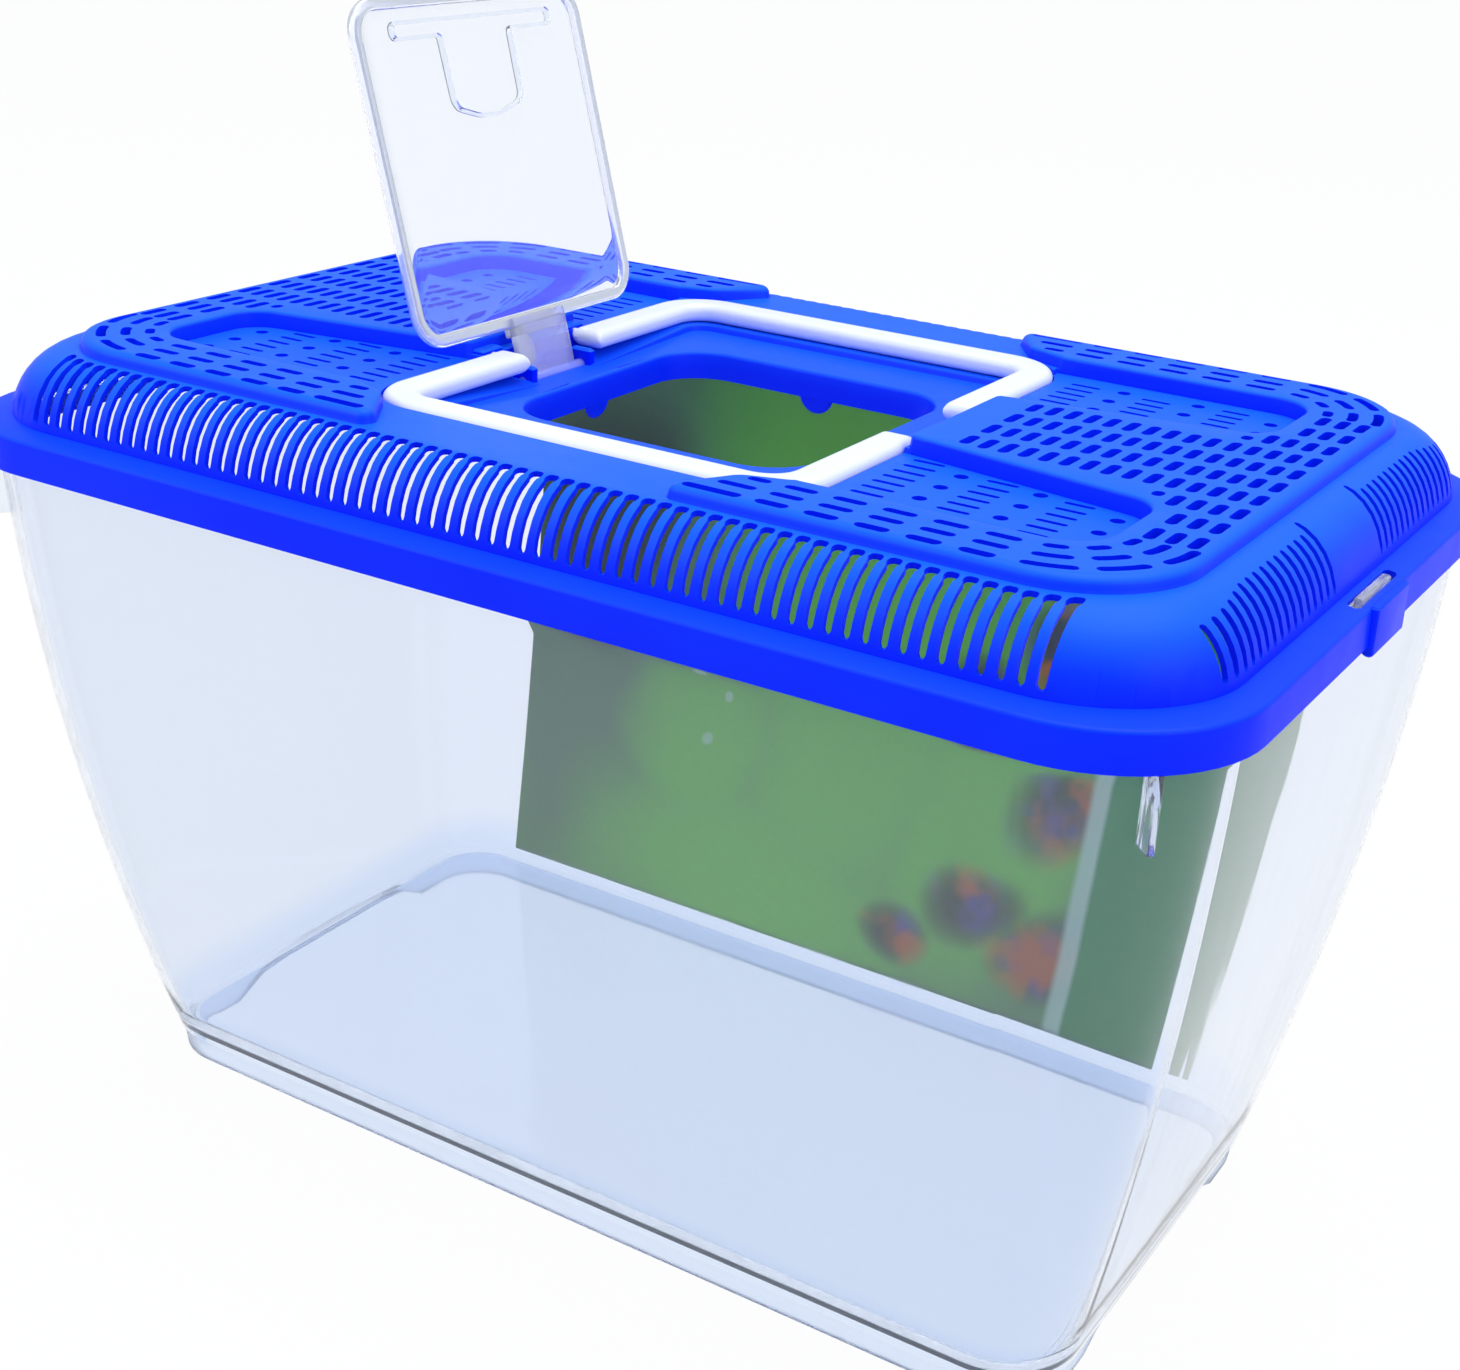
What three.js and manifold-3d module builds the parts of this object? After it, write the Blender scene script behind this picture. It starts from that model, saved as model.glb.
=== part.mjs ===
// A small carry aquarium: a clear tapered tank, a blue vented lid with two raised perforated panels,
// a clear feeding hatch standing open, two white grips that fold flat round it, and a printed back card.
// Millimetres, +Z up, +X along the long side, -Y to the front; the origin is the middle of the base.
import * as THREE from "three";
import { mergeVertices } from "three/addons/utils/BufferGeometryUtils.js";
import Module from "manifold-3d";

const wasm = await Module();
wasm.setup();

// Shared values
const CUT_OVERRUN = 6;
const PIECE_GAP = 0.3;

// Lid outline and heights
const LID_HALF_LENGTH = 162.4;
const LID_HALF_DEPTH = 105.4;
const LID_CORNER_RADIUS = 34;
const SKIRT_BOTTOM_Z = 174;
const SKIRT_EDGE_ROUND = 0.9;
const LEDGE_OUTER_Z = 182.4;
const LEDGE_WIDTH = 6.6;
const LEDGE_RISE = 0.9;
const SHOULDER_TOP_Z = 198.6;
const SHOULDER_WIDTH = 12.6;
const SHOULDER_LEAN = 1.2;
const PANEL_TOP_Z = 201.7;
const PANEL_CORNER_RADIUS = 26;
const LID_WALL = 2;

// Raised panels
const PANEL_EDGE_X = 35.8;
const PANEL_BEND_X = 47;
const PANEL_BEND_MARGIN = 0.8;
const PANEL_SLOPE_X = 57.8;
const PANEL_SLOPE_DROP = 3;
const PANEL_SIDE_X = 62.3;
const PANEL_SIDE_DROP = 11.6;
const PANEL_WAIST_X = 63.2;
const PANEL_WAIST_Y = 24.5;
const PANEL_NOSE_X = 60.3;
const PANEL_NOSE_Y = 21;
const PANEL_STEP = 0.7;

// Front, back and end vents
const VENT_PITCH = 3.96;
const VENT_WIDTH = 1.6;
const FRONT_VENTS_PER_HALF = 33;
const END_VENTS_PER_GROUP = 16;
const END_VENT_START = 14.5;
const VENT_FOOT_RISE = 1.2;
const VENT_TOP_REACH = 2.4;

// Perforations of a panel: rows of long slots and end columns of short ones
const PERF_WIDTH = 1.6;
const ROW_SLOT_LENGTH = 7.6;
const ROW_SLOT_PITCH = 11.2;
const ROW_SLOTS = 6;
const ROW_PITCH = 5.7;
const ROW_COUNT = 3;
const ROW_EDGE_MARGIN = 2.7;
const ROW_CORNER_KEEP = 3;
const COLUMN_SLOT_LENGTH = 7;
const COLUMN_SLOT_PITCH = 11.3;
const COLUMN_SLOTS = 10;
const COLUMN_PITCH = 4.5;
const COLUMN_COUNT = 3;
const COLUMN_EDGE_MARGIN = 4.7;

// Grid of short slots in the strip between a panel's trays: x of its first column, y of its two rows
const STRIP_SLOT_WIDTH = 4.4;
const STRIP_COLUMN_PITCH = 9.44;
const STRIP_COLUMNS = 6;
const STRIP_FIRST_X = 118.6;
const STRIP_ROW_EDGES = [[1.6, 9.7], [12.9, 18.9]];

// Trays sunk in the panels
const TRAY_INNER_Y = 21.3;
const TRAY_EDGE_MARGIN = 19.2;
const TRAY_FAR_X = 123.6;
const TRAY_DEPTH = 4.2;
const TRAY_SPREAD = 6;
const TRAY_CORNER = 9;

// Well for the grips and the hatch, and the feeding opening
const GRIP_CENTRE_X = 1.45;
const GRIP_HALF_LENGTH = 57.75;
const GRIP_EDGE_MARGIN = 16.9;
const GRIP_CORNER = 15;
const GRIP_BAR_WIDTH = 9;
const GRIP_BAR_HEIGHT = 4.8;
const GRIP_PIVOT_Y = 16.8;
const GRIP_PIVOT_Z = 197.2;
const GRIP_PIN_RADIUS = 1.6;
const GRIP_PIN_LENGTH = 2.2;
const PIN_HOLE_CLEARANCE = 0.3;
const BOSS_WIDTH = 8;
const BOSS_LENGTH = 5;
const WELL_MARGIN = 1;
const WELL_FLOOR_Z = 192;
const OPENING_LEFT_X = -37.5;
const OPENING_RIGHT_X = 41.5;
const OPENING_END_MARGIN = 28.6;
const OPENING_CORNER = 14;
const OPENING_COLLAR_DROP = 9;
const REST_TAB_RADIUS = 5;
const REST_TAB_THICKNESS = 1.6;
const SHELF_RISE = 1;
const SHELF_GAP = 0.8;
const SHELF_CORNER = 6;
const SHELF_NOTCH_HALF_WIDTH = 14.2;

// Hatch
const HATCH_PIN_X = -51;
const HATCH_PIN_Z = 191.5;
const HATCH_EDGE_REACH = 13;
const HATCH_LENGTH = 81;
const HATCH_LAP = 3.6;
const HATCH_CORNER = 9;
const HATCH_PLATE = 1.4;
const HATCH_RIM_WIDTH = 2.6;
const HATCH_RIM_DEPTH = 2.4;
const HATCH_RISE = 3.5;
const HATCH_LEAF_HALF_WIDTH = 10.5;
const HATCH_LEAF_LOW = 0.9;
const HATCH_LEAF_HIGH = 3;
const HATCH_PIN_RADIUS = 1.5;
const HATCH_PIN_HALF_LENGTH = 13.2;
const HATCH_OPEN_DEG = 105.7;
const HATCH_GRIP_LENGTH = 5;
const HATCH_GRIP_HALF_WIDTH = 31;
const HATCH_TONGUE_LENGTH = 26;
const HATCH_TONGUE_HALF_WIDTH = 11;
const HATCH_GRIP_WALL = 1.4;
const HINGE_EAR_THICKNESS = 2.2;
const HINGE_EAR_WIDTH = 6;
const HINGE_EAR_TOP = 2.6;

// End clips of the lid and lugs of the tank
const CLIP_HALF_WIDTH = 10.8;
const CLIP_PROUD = 1.3;
const CLIP_DROP = 2.4;
const WINDOW_HALF_WIDTH = 14.3;
const WINDOW_INSET = 2.2;
const WINDOW_WIDTH = 3.8;
const LUG_HALF_WIDTH = 9.5;
const LUG_TOP_RISE = 1.2;

// Tank
const TANK_TOP_INSET = 4;
const TANK_RIM_GAP = 1.3;
const TANK_RIM_HEIGHT = 3;
const TANK_TOP_GAP = 0.3;
const TANK_BASE_HALF_LENGTH = 134.3;
const TANK_BASE_HALF_DEPTH = 69.8;
const TANK_CORNER_TOP = 31;
const TANK_CORNER_BASE = 19;
const TANK_BULGE_SHARE = 0.63;
const TANK_HEIGHT_SHARES = [0.28, 0.54, 0.78];
const TANK_WALL = 2.2;
const TANK_FLOOR = 2.6;
const FOOT_HEIGHT = 6;
const FOOT_INSET = 1.2;
const FOOT_RING_WIDTH = 3.4;
const FOOT_END_GAP = 31;
const CORNER_RIB_WIDTH = 1.6;
const CORNER_RIB_DEPTH = 3.2;
const CORNER_RIB_DROP = 17;

// Printed back card
const CARD_THICKNESS = 0.5;
const CARD_BOTTOM_Z = 10.2;
const CARD_TOP_DROP = 4;
const CARD_SIDE_MARGIN = 21;

// Roundness of the outlines, in segments
const CORNER_SEGMENTS = 6;
const SHOULDER_SEGMENTS = 3;
const SHELL_SEGMENTS = 1;
const ROUND_SEGMENTS = 12;

// Derived places
const PANEL_HALF_LENGTH = LID_HALF_LENGTH - LEDGE_WIDTH - SHOULDER_WIDTH - PANEL_STEP;
const PANEL_HALF_DEPTH = LID_HALF_DEPTH - LEDGE_WIDTH - SHOULDER_WIDTH - PANEL_STEP;
const GRIP_REACH_Y = PANEL_HALF_DEPTH - GRIP_EDGE_MARGIN;
const OPENING_HALF_DEPTH = GRIP_REACH_Y - OPENING_END_MARGIN;
const HATCH_HALF_WIDTH = OPENING_HALF_DEPTH + HATCH_LAP;
const TRAY_OUTER_Y = PANEL_HALF_DEPTH - TRAY_EDGE_MARGIN;
const WELL_HALF_LENGTH = GRIP_HALF_LENGTH + WELL_MARGIN;
const WELL_HALF_DEPTH = GRIP_REACH_Y + WELL_MARGIN;
const TANK_TOP_Z = LEDGE_OUTER_Z - LID_WALL - TANK_TOP_GAP;
const LEDGE_INNER_Z = LEDGE_OUTER_Z + LEDGE_RISE;

// A closed mesh as a solid that can be cut and joined.
function solidOf(geometry) {
  const bare = geometry.clone();
  bare.deleteAttribute("normal");
  bare.deleteAttribute("uv");
  const merged = mergeVertices(bare);
  return new wasm.Manifold(new wasm.Mesh({
    numProp: 3,
    vertProperties: new Float32Array(merged.attributes.position.array),
    triVerts: new Uint32Array(merged.index.array),
  }));
}

// A named mesh from a solid, with its own finish.
function meshOf(solid, name, finish) {
  const data = solid.getMesh();
  const geometry = new THREE.BufferGeometry();
  geometry.setAttribute("position", new THREE.BufferAttribute(data.vertProperties, data.numProp));
  geometry.setIndex(new THREE.BufferAttribute(data.triVerts, 1));
  const mesh = new THREE.Mesh(geometry, new THREE.MeshStandardMaterial(finish));
  mesh.name = name;
  return mesh;
}

// The points of a rectangle with round corners, counter-clockwise from the +X side.
function roundedRing(halfLength, halfDepth, radius, segments = CORNER_SEGMENTS) {
  const centres = [
    [halfLength - radius, halfDepth - radius],
    [radius - halfLength, halfDepth - radius],
    [radius - halfLength, radius - halfDepth],
    [halfLength - radius, radius - halfDepth],
  ];
  const points = [];
  centres.forEach(([x, y], quarter) => {
    for (let step = 0; step <= segments; step += 1) {
      const angle = (quarter + step / segments) * Math.PI / 2;
      points.push(new THREE.Vector2(x + radius * Math.cos(angle), y + radius * Math.sin(angle)));
    }
  });
  return points;
}

// A solid through a stack of rings with as many points each; a level is { ring, z }.
function loft(levels) {
  const count = levels[0].ring.length;
  const positions = [];
  const index = [];
  levels.forEach(({ ring, z }) => ring.forEach((p) => positions.push(p.x, p.y, z)));
  for (let level = 0; level + 1 < levels.length; level += 1) {
    for (let i = 0; i < count; i += 1) {
      const a = level * count + i;
      const b = level * count + (i + 1) % count;
      index.push(a, b, b + count, a, b + count, a + count);
    }
  }
  const last = (levels.length - 1) * count;
  for (let i = 1; i + 1 < count; i += 1) {
    index.push(0, i + 1, i);
    index.push(last, last + i, last + i + 1);
  }
  const geometry = new THREE.BufferGeometry();
  geometry.setAttribute("position", new THREE.Float32BufferAttribute(positions, 3));
  geometry.setIndex(index);
  return solidOf(geometry);
}

// An outline raised from one height to another.
function slab(points, fromZ, toZ) {
  const geometry = new THREE.ExtrudeGeometry(new THREE.Shape(points), {
    depth: toZ - fromZ,
    bevelEnabled: false,
  });
  geometry.translate(0, 0, fromZ);
  return solidOf(geometry);
}

// A box from its lowest and highest corners.
function block(low, high) {
  const geometry = new THREE.BoxGeometry(high[0] - low[0], high[1] - low[1], high[2] - low[2]);
  geometry.translate((low[0] + high[0]) / 2, (low[1] + high[1]) / 2, (low[2] + high[2]) / 2);
  return solidOf(geometry);
}

// A round bar along X or Y between two ends.
function roundBar(axis, from, to, radius, u, v) {
  const geometry = new THREE.CylinderGeometry(radius, radius, to - from, ROUND_SEGMENTS);
  if (axis === "x") {
    geometry.rotateZ(Math.PI / 2);
    geometry.translate((from + to) / 2, u, v);
  } else {
    geometry.translate(u, (from + to) / 2, v);
  }
  return solidOf(geometry);
}

// Points moved along X.
function shifted(points, dx) {
  return points.map((p) => new THREE.Vector2(p.x + dx, p.y));
}

// Points mirrored in the Y axis, kept counter-clockwise.
function mirroredX(points) {
  return points.map((p) => new THREE.Vector2(-p.x, p.y)).reverse();
}

// Points mirrored in the X axis, kept counter-clockwise.
function mirroredY(points) {
  return points.map((p) => new THREE.Vector2(p.x, -p.y)).reverse();
}

// Solids joined pair by pair, which keeps each join small.
function joinAll(solids) {
  return wasm.Manifold.union(solids);
}

// Lid

// The ring of the lid's outer face at an inset from the skirt.
function lidRing(inset) {
  const full = LEDGE_WIDTH + SHOULDER_WIDTH + PANEL_STEP;
  const radius = LID_CORNER_RADIUS + (PANEL_CORNER_RADIUS - LID_CORNER_RADIUS) * inset / full;
  return roundedRing(LID_HALF_LENGTH - inset, LID_HALF_DEPTH - inset, radius);
}

// The levels of the lid, from the skirt up to the shoulder's top, moved in and down by a wall.
function lidLevels(shellInset, drop, segments) {
  const levels = [
    { inset: SKIRT_EDGE_ROUND, z: SKIRT_BOTTOM_Z },
    { inset: 0, z: SKIRT_BOTTOM_Z + SKIRT_EDGE_ROUND },
    { inset: 0, z: LEDGE_OUTER_Z - SKIRT_EDGE_ROUND },
    { inset: SKIRT_EDGE_ROUND, z: LEDGE_OUTER_Z },
    { inset: LEDGE_WIDTH, z: LEDGE_INNER_Z },
  ];
  for (let step = 1; step <= segments; step += 1) {
    const turn = step / segments * Math.PI / 2;
    const lean = SHOULDER_LEAN * Math.sin(turn);
    levels.push({
      inset: LEDGE_WIDTH + lean + (SHOULDER_WIDTH - SHOULDER_LEAN) * (1 - Math.cos(turn)),
      z: LEDGE_INNER_Z + (SHOULDER_TOP_Z - LEDGE_INNER_Z) * Math.sin(turn),
    });
  }
  return levels.map(({ inset, z }) => ({ ring: lidRing(inset + shellInset), z: z - drop }));
}

// The outline of the right raised panel, grown or shrunk by an offset.
function panelOutline(offset) {
  const x = PANEL_HALF_LENGTH + offset;
  const y = PANEL_HALF_DEPTH + offset;
  const radius = PANEL_CORNER_RADIUS + offset;
  const outer = roundedRing(x, y, radius).filter((p) => p.x > 0);
  const upper = outer.filter((p) => p.y > 0);
  const lower = outer.filter((p) => p.y < 0);
  const inner = [
    new THREE.Vector2(PANEL_EDGE_X - 2 * offset, y),
    new THREE.Vector2(PANEL_BEND_X - offset, GRIP_REACH_Y + PANEL_BEND_MARGIN - offset),
    new THREE.Vector2(PANEL_SLOPE_X - offset, GRIP_REACH_Y - PANEL_SLOPE_DROP - offset),
    new THREE.Vector2(PANEL_SIDE_X - offset, GRIP_REACH_Y - PANEL_SIDE_DROP),
    new THREE.Vector2(PANEL_WAIST_X - offset, PANEL_WAIST_Y),
    new THREE.Vector2(PANEL_NOSE_X - offset, PANEL_NOSE_Y + offset),
  ];
  const mirrored = inner.map((p) => new THREE.Vector2(p.x, -p.y)).reverse();
  return [...lower, ...upper, ...inner, ...mirrored];
}

// The outline of the front right tray, which starts at the well and spreads towards the lid's end.
function trayOutline(offset) {
  const near = WELL_HALF_LENGTH - GRIP_CENTRE_X - offset;
  const far = TRAY_FAR_X + offset;
  const inner = TRAY_INNER_Y - offset;
  const outer = TRAY_OUTER_Y + offset;
  return [
    new THREE.Vector2(near, -outer),
    new THREE.Vector2(far - TRAY_CORNER / 2, -outer),
    new THREE.Vector2(far, TRAY_CORNER / 2 - outer),
    new THREE.Vector2(far, -inner - TRAY_SPREAD - TRAY_CORNER),
    new THREE.Vector2(far - TRAY_CORNER, -inner - TRAY_SPREAD),
    new THREE.Vector2(near, -inner),
  ];
}

// Vents across the front shoulder, the back shoulder and both ends.
function ventCuts() {
  const cuts = [];
  const topInset = LEDGE_WIDTH + SHOULDER_WIDTH - VENT_TOP_REACH;
  const foot = LEDGE_INNER_Z + VENT_FOOT_RISE;
  const head = PANEL_TOP_Z + CUT_OVERRUN;
  const half = VENT_WIDTH / 2;
  const rows = [-1, 1];
  for (let k = 0; k < FRONT_VENTS_PER_HALF; k += 1) {
    const x = (k + 1 / 2) * VENT_PITCH;
    rows.forEach((sx) => rows.forEach((sy) => {
      const near = sy * (LID_HALF_DEPTH - topInset);
      const far = sy * (LID_HALF_DEPTH + CUT_OVERRUN);
      cuts.push(block(
        [sx * x - half, Math.min(near, far), foot],
        [sx * x + half, Math.max(near, far), head],
      ));
    }));
  }
  for (let k = 0; k < END_VENTS_PER_GROUP; k += 1) {
    const y = END_VENT_START + k * VENT_PITCH;
    rows.forEach((sx) => rows.forEach((sy) => {
      const near = sx * (LID_HALF_LENGTH - topInset);
      const far = sx * (LID_HALF_LENGTH + CUT_OVERRUN);
      cuts.push(block(
        [Math.min(near, far), sy * y - half, foot],
        [Math.max(near, far), sy * y + half, head],
      ));
    }));
  }
  return cuts;
}

// One straight slot through a panel, placed for all four quarters of the lid.
function quarterSlots(x, y, sizeX, sizeY) {
  const low = SHOULDER_TOP_Z - CUT_OVERRUN;
  const high = PANEL_TOP_Z + CUT_OVERRUN;
  return [-1, 1].flatMap((sx) => [-1, 1].map((sy) => block(
    [sx * x - sizeX / 2, sy * y - sizeY / 2, low],
    [sx * x + sizeX / 2, sy * y + sizeY / 2, high],
  )));
}

// The perforations of both panels.
function perforationCuts() {
  const cuts = [];
  const rowEnd = PANEL_HALF_LENGTH - PANEL_CORNER_RADIUS - ROW_CORNER_KEEP;
  for (let row = 0; row < ROW_COUNT; row += 1) {
    const y = PANEL_HALF_DEPTH - ROW_EDGE_MARGIN - row * ROW_PITCH;
    for (let k = 0; k < ROW_SLOTS; k += 1) {
      const x = rowEnd - ROW_SLOT_LENGTH / 2 - k * ROW_SLOT_PITCH;
      cuts.push(...quarterSlots(x, y, ROW_SLOT_LENGTH, PERF_WIDTH));
    }
  }
  const columnX = (column) => PANEL_HALF_LENGTH - COLUMN_EDGE_MARGIN - column * COLUMN_PITCH;
  for (let column = 0; column < COLUMN_COUNT; column += 1) {
    for (let k = 0; k < COLUMN_SLOTS / 2; k += 1) {
      const y = (k + 1 / 2) * COLUMN_SLOT_PITCH;
      cuts.push(...quarterSlots(columnX(column), y, PERF_WIDTH, COLUMN_SLOT_LENGTH));
    }
  }
  for (let column = 0; column < STRIP_COLUMNS; column += 1) {
    const x = STRIP_FIRST_X - column * STRIP_COLUMN_PITCH;
    STRIP_ROW_EDGES.forEach(([low, high]) => {
      cuts.push(...quarterSlots(x, (low + high) / 2, STRIP_SLOT_WIDTH, high - low));
    });
  }
  return cuts;
}

// The well's outline at an offset, and the feeding opening's outline at an offset.
function wellOutline(offset) {
  const ring = roundedRing(WELL_HALF_LENGTH + offset, WELL_HALF_DEPTH + offset, GRIP_CORNER + offset);
  return shifted(ring, GRIP_CENTRE_X);
}

function openingOutline(offset) {
  const half = (OPENING_RIGHT_X - OPENING_LEFT_X) / 2 + offset;
  const ring = roundedRing(half, OPENING_HALF_DEPTH + offset, OPENING_CORNER + offset);
  return shifted(ring, (OPENING_RIGHT_X + OPENING_LEFT_X) / 2);
}

// The shelf between the grips and the opening, notched for the leaf of the shut hatch.
function makeShelf() {
  const inset = GRIP_BAR_WIDTH + SHELF_GAP;
  const ring = roundedRing(GRIP_HALF_LENGTH - inset, GRIP_REACH_Y - inset, SHELF_CORNER);
  const shelf = slab(shifted(ring, GRIP_CENTRE_X), WELL_FLOOR_Z - LID_WALL, WELL_FLOOR_Z + SHELF_RISE);
  const notch = block(
    [GRIP_CENTRE_X - GRIP_HALF_LENGTH, -SHELF_NOTCH_HALF_WIDTH, WELL_FLOOR_Z],
    [OPENING_LEFT_X + SHELF_GAP, SHELF_NOTCH_HALF_WIDTH, WELL_FLOOR_Z + CUT_OVERRUN],
  );
  return shelf.subtract(notch);
}

function makeLid() {
  const outer = loft(lidLevels(0, 0, SHOULDER_SEGMENTS));
  const innerLevels = lidLevels(LID_WALL, LID_WALL, SHELL_SEGMENTS);
  innerLevels.unshift({ ring: innerLevels[0].ring, z: SKIRT_BOTTOM_Z - CUT_OVERRUN });
  const raised = [];
  const hollows = [];
  const trays = [];
  const trayFloors = [];
  [(p) => p, mirroredX].forEach((side) => {
    const top = PANEL_TOP_Z;
    raised.push(slab(side(panelOutline(0)), SHOULDER_TOP_Z - LID_WALL, top));
    hollows.push(slab(side(panelOutline(-LID_WALL)), SHOULDER_TOP_Z - CUT_OVERRUN, top - LID_WALL));
    [(p) => p, mirroredY].forEach((end) => {
      const floor = top - TRAY_DEPTH;
      trays.push(slab(end(side(trayOutline(0))), floor, top + CUT_OVERRUN));
      trayFloors.push(slab(end(side(trayOutline(LID_WALL))), floor - LID_WALL, top - LID_WALL / 2));
    });
  });
  const wellBlock = slab(wellOutline(LID_WALL), WELL_FLOOR_Z - LID_WALL, SHOULDER_TOP_Z);
  const wellCut = slab(wellOutline(0), WELL_FLOOR_Z, PANEL_TOP_Z + CUT_OVERRUN);
  const collarFoot = WELL_FLOOR_Z - OPENING_COLLAR_DROP;
  const collar = slab(openingOutline(LID_WALL), collarFoot, WELL_FLOOR_Z);
  const openingCut = slab(openingOutline(0), collarFoot - CUT_OVERRUN, PANEL_TOP_Z);

  // Aprons of the end clips, and the windows in the ledge over the tank's lugs
  const ends = [-1, 1];
  const aprons = ends.map((s) => {
    const near = s * (LID_HALF_LENGTH - LID_WALL);
    const far = s * (LID_HALF_LENGTH + CLIP_PROUD);
    return block(
      [Math.min(near, far), -CLIP_HALF_WIDTH, SKIRT_BOTTOM_Z - CLIP_DROP],
      [Math.max(near, far), CLIP_HALF_WIDTH, LEDGE_OUTER_Z],
    );
  });
  const windows = ends.map((s) => {
    const near = s * (LID_HALF_LENGTH - WINDOW_INSET - WINDOW_WIDTH);
    const far = s * (LID_HALF_LENGTH - WINDOW_INSET);
    return block(
      [Math.min(near, far), -WINDOW_HALF_WIDTH, TANK_TOP_Z - LID_WALL],
      [Math.max(near, far), WINDOW_HALF_WIDTH, LEDGE_INNER_Z + PIECE_GAP],
    );
  });

  // Bosses at the ends of the well that hold the grips' pins, and ears that hold the hatch's pin
  const bosses = ends.flatMap((s) => ends.map((side) => {
    const near = GRIP_CENTRE_X + s * WELL_HALF_LENGTH;
    const far = near + s * BOSS_LENGTH;
    return block(
      [Math.min(near, far), side * GRIP_PIVOT_Y - BOSS_WIDTH / 2, WELL_FLOOR_Z - LID_WALL],
      [Math.max(near, far), side * GRIP_PIVOT_Y + BOSS_WIDTH / 2, PANEL_TOP_Z - LID_WALL],
    );
  }));
  const pinHoles = ends.map((side) => roundBar(
    "x",
    GRIP_CENTRE_X - WELL_HALF_LENGTH - GRIP_PIN_LENGTH,
    GRIP_CENTRE_X + WELL_HALF_LENGTH + GRIP_PIN_LENGTH,
    GRIP_PIN_RADIUS + PIN_HOLE_CLEARANCE,
    side * GRIP_PIVOT_Y,
    GRIP_PIVOT_Z,
  ));
  const earInner = HATCH_LEAF_HALF_WIDTH + PIECE_GAP;
  const ears = ends.map((side) => {
    const near = side * earInner;
    const far = side * (earInner + HINGE_EAR_THICKNESS);
    return block(
      [HATCH_PIN_X - HINGE_EAR_WIDTH / 2, Math.min(near, far), WELL_FLOOR_Z - LID_WALL],
      [HATCH_PIN_X + HINGE_EAR_WIDTH / 2, Math.max(near, far), HATCH_PIN_Z + HINGE_EAR_TOP],
    );
  });
  const hingePit = block(
    [
      HATCH_PIN_X - HATCH_LEAF_HIGH - PIN_HOLE_CLEARANCE,
      -earInner,
      WELL_FLOOR_Z - LID_WALL - CUT_OVERRUN,
    ],
    [HATCH_PIN_X + HINGE_EAR_WIDTH / 2, earInner, HATCH_PIN_Z + HINGE_EAR_TOP],
  );
  const hingeHole = roundBar(
    "y",
    -HATCH_PIN_HALF_LENGTH - PIECE_GAP,
    HATCH_PIN_HALF_LENGTH + PIECE_GAP,
    HATCH_PIN_RADIUS + PIN_HOLE_CLEARANCE,
    HATCH_PIN_X,
    HATCH_PIN_Z,
  );

  // Half-round rests below the collar, in the middle of each of its sides
  const openingHalf = (OPENING_RIGHT_X - OPENING_LEFT_X) / 2;
  const tabs = ends.flatMap((s) => [true, false].map((atEnd) => {
    const reach = atEnd ? openingHalf : OPENING_HALF_DEPTH;
    const geometry = new THREE.CylinderGeometry(
      REST_TAB_RADIUS, REST_TAB_RADIUS, REST_TAB_THICKNESS, ROUND_SEGMENTS,
    );
    geometry.rotateX(Math.PI / 2);
    geometry.translate(0, s * (reach + REST_TAB_THICKNESS / 2), collarFoot);
    if (atEnd) geometry.rotateZ(Math.PI / 2);
    geometry.translate((OPENING_RIGHT_X + OPENING_LEFT_X) / 2, 0, 0);
    return solidOf(geometry);
  }));

  return outer
    .subtract(loft(innerLevels))
    .add(joinAll(raised))
    .subtract(joinAll(hollows))
    .add(joinAll([...trayFloors, wellBlock, collar, ...aprons, ...bosses, ...tabs]))
    .subtract(joinAll([...trays, wellCut]))
    .add(makeShelf())
    .subtract(joinAll([openingCut, ...windows]))
    .add(joinAll(ears))
    .subtract(joinAll([...pinHoles, hingePit, hingeHole]))
    .subtract(joinAll([...ventCuts(), ...perforationCuts()]));
}

// Tank

// The tank's outer half sizes and corner at a height; the walls lean out less towards the top.
function tankSection(z) {
  const rise = (z - FOOT_HEIGHT) / (SKIRT_BOTTOM_Z - FOOT_HEIGHT);
  const share = rise + TANK_BULGE_SHARE * rise * (1 - rise);
  const mix = (low, high) => low + (high - low) * share;
  return {
    length: mix(TANK_BASE_HALF_LENGTH, LID_HALF_LENGTH - TANK_TOP_INSET),
    depth: mix(TANK_BASE_HALF_DEPTH, LID_HALF_DEPTH - TANK_TOP_INSET),
    corner: mix(TANK_CORNER_BASE, TANK_CORNER_TOP),
  };
}

// The heights between foot and skirt at which the walls bend.
function bendHeights() {
  return TANK_HEIGHT_SHARES.map((share) => FOOT_HEIGHT + (SKIRT_BOTTOM_Z - FOOT_HEIGHT) * share);
}

// A level of the tank at a height and an inset.
function tankLevel(z, inset) {
  const section = tankSection(z);
  return { ring: roundedRing(section.length - inset, section.depth - inset, section.corner - inset), z };
}

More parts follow.
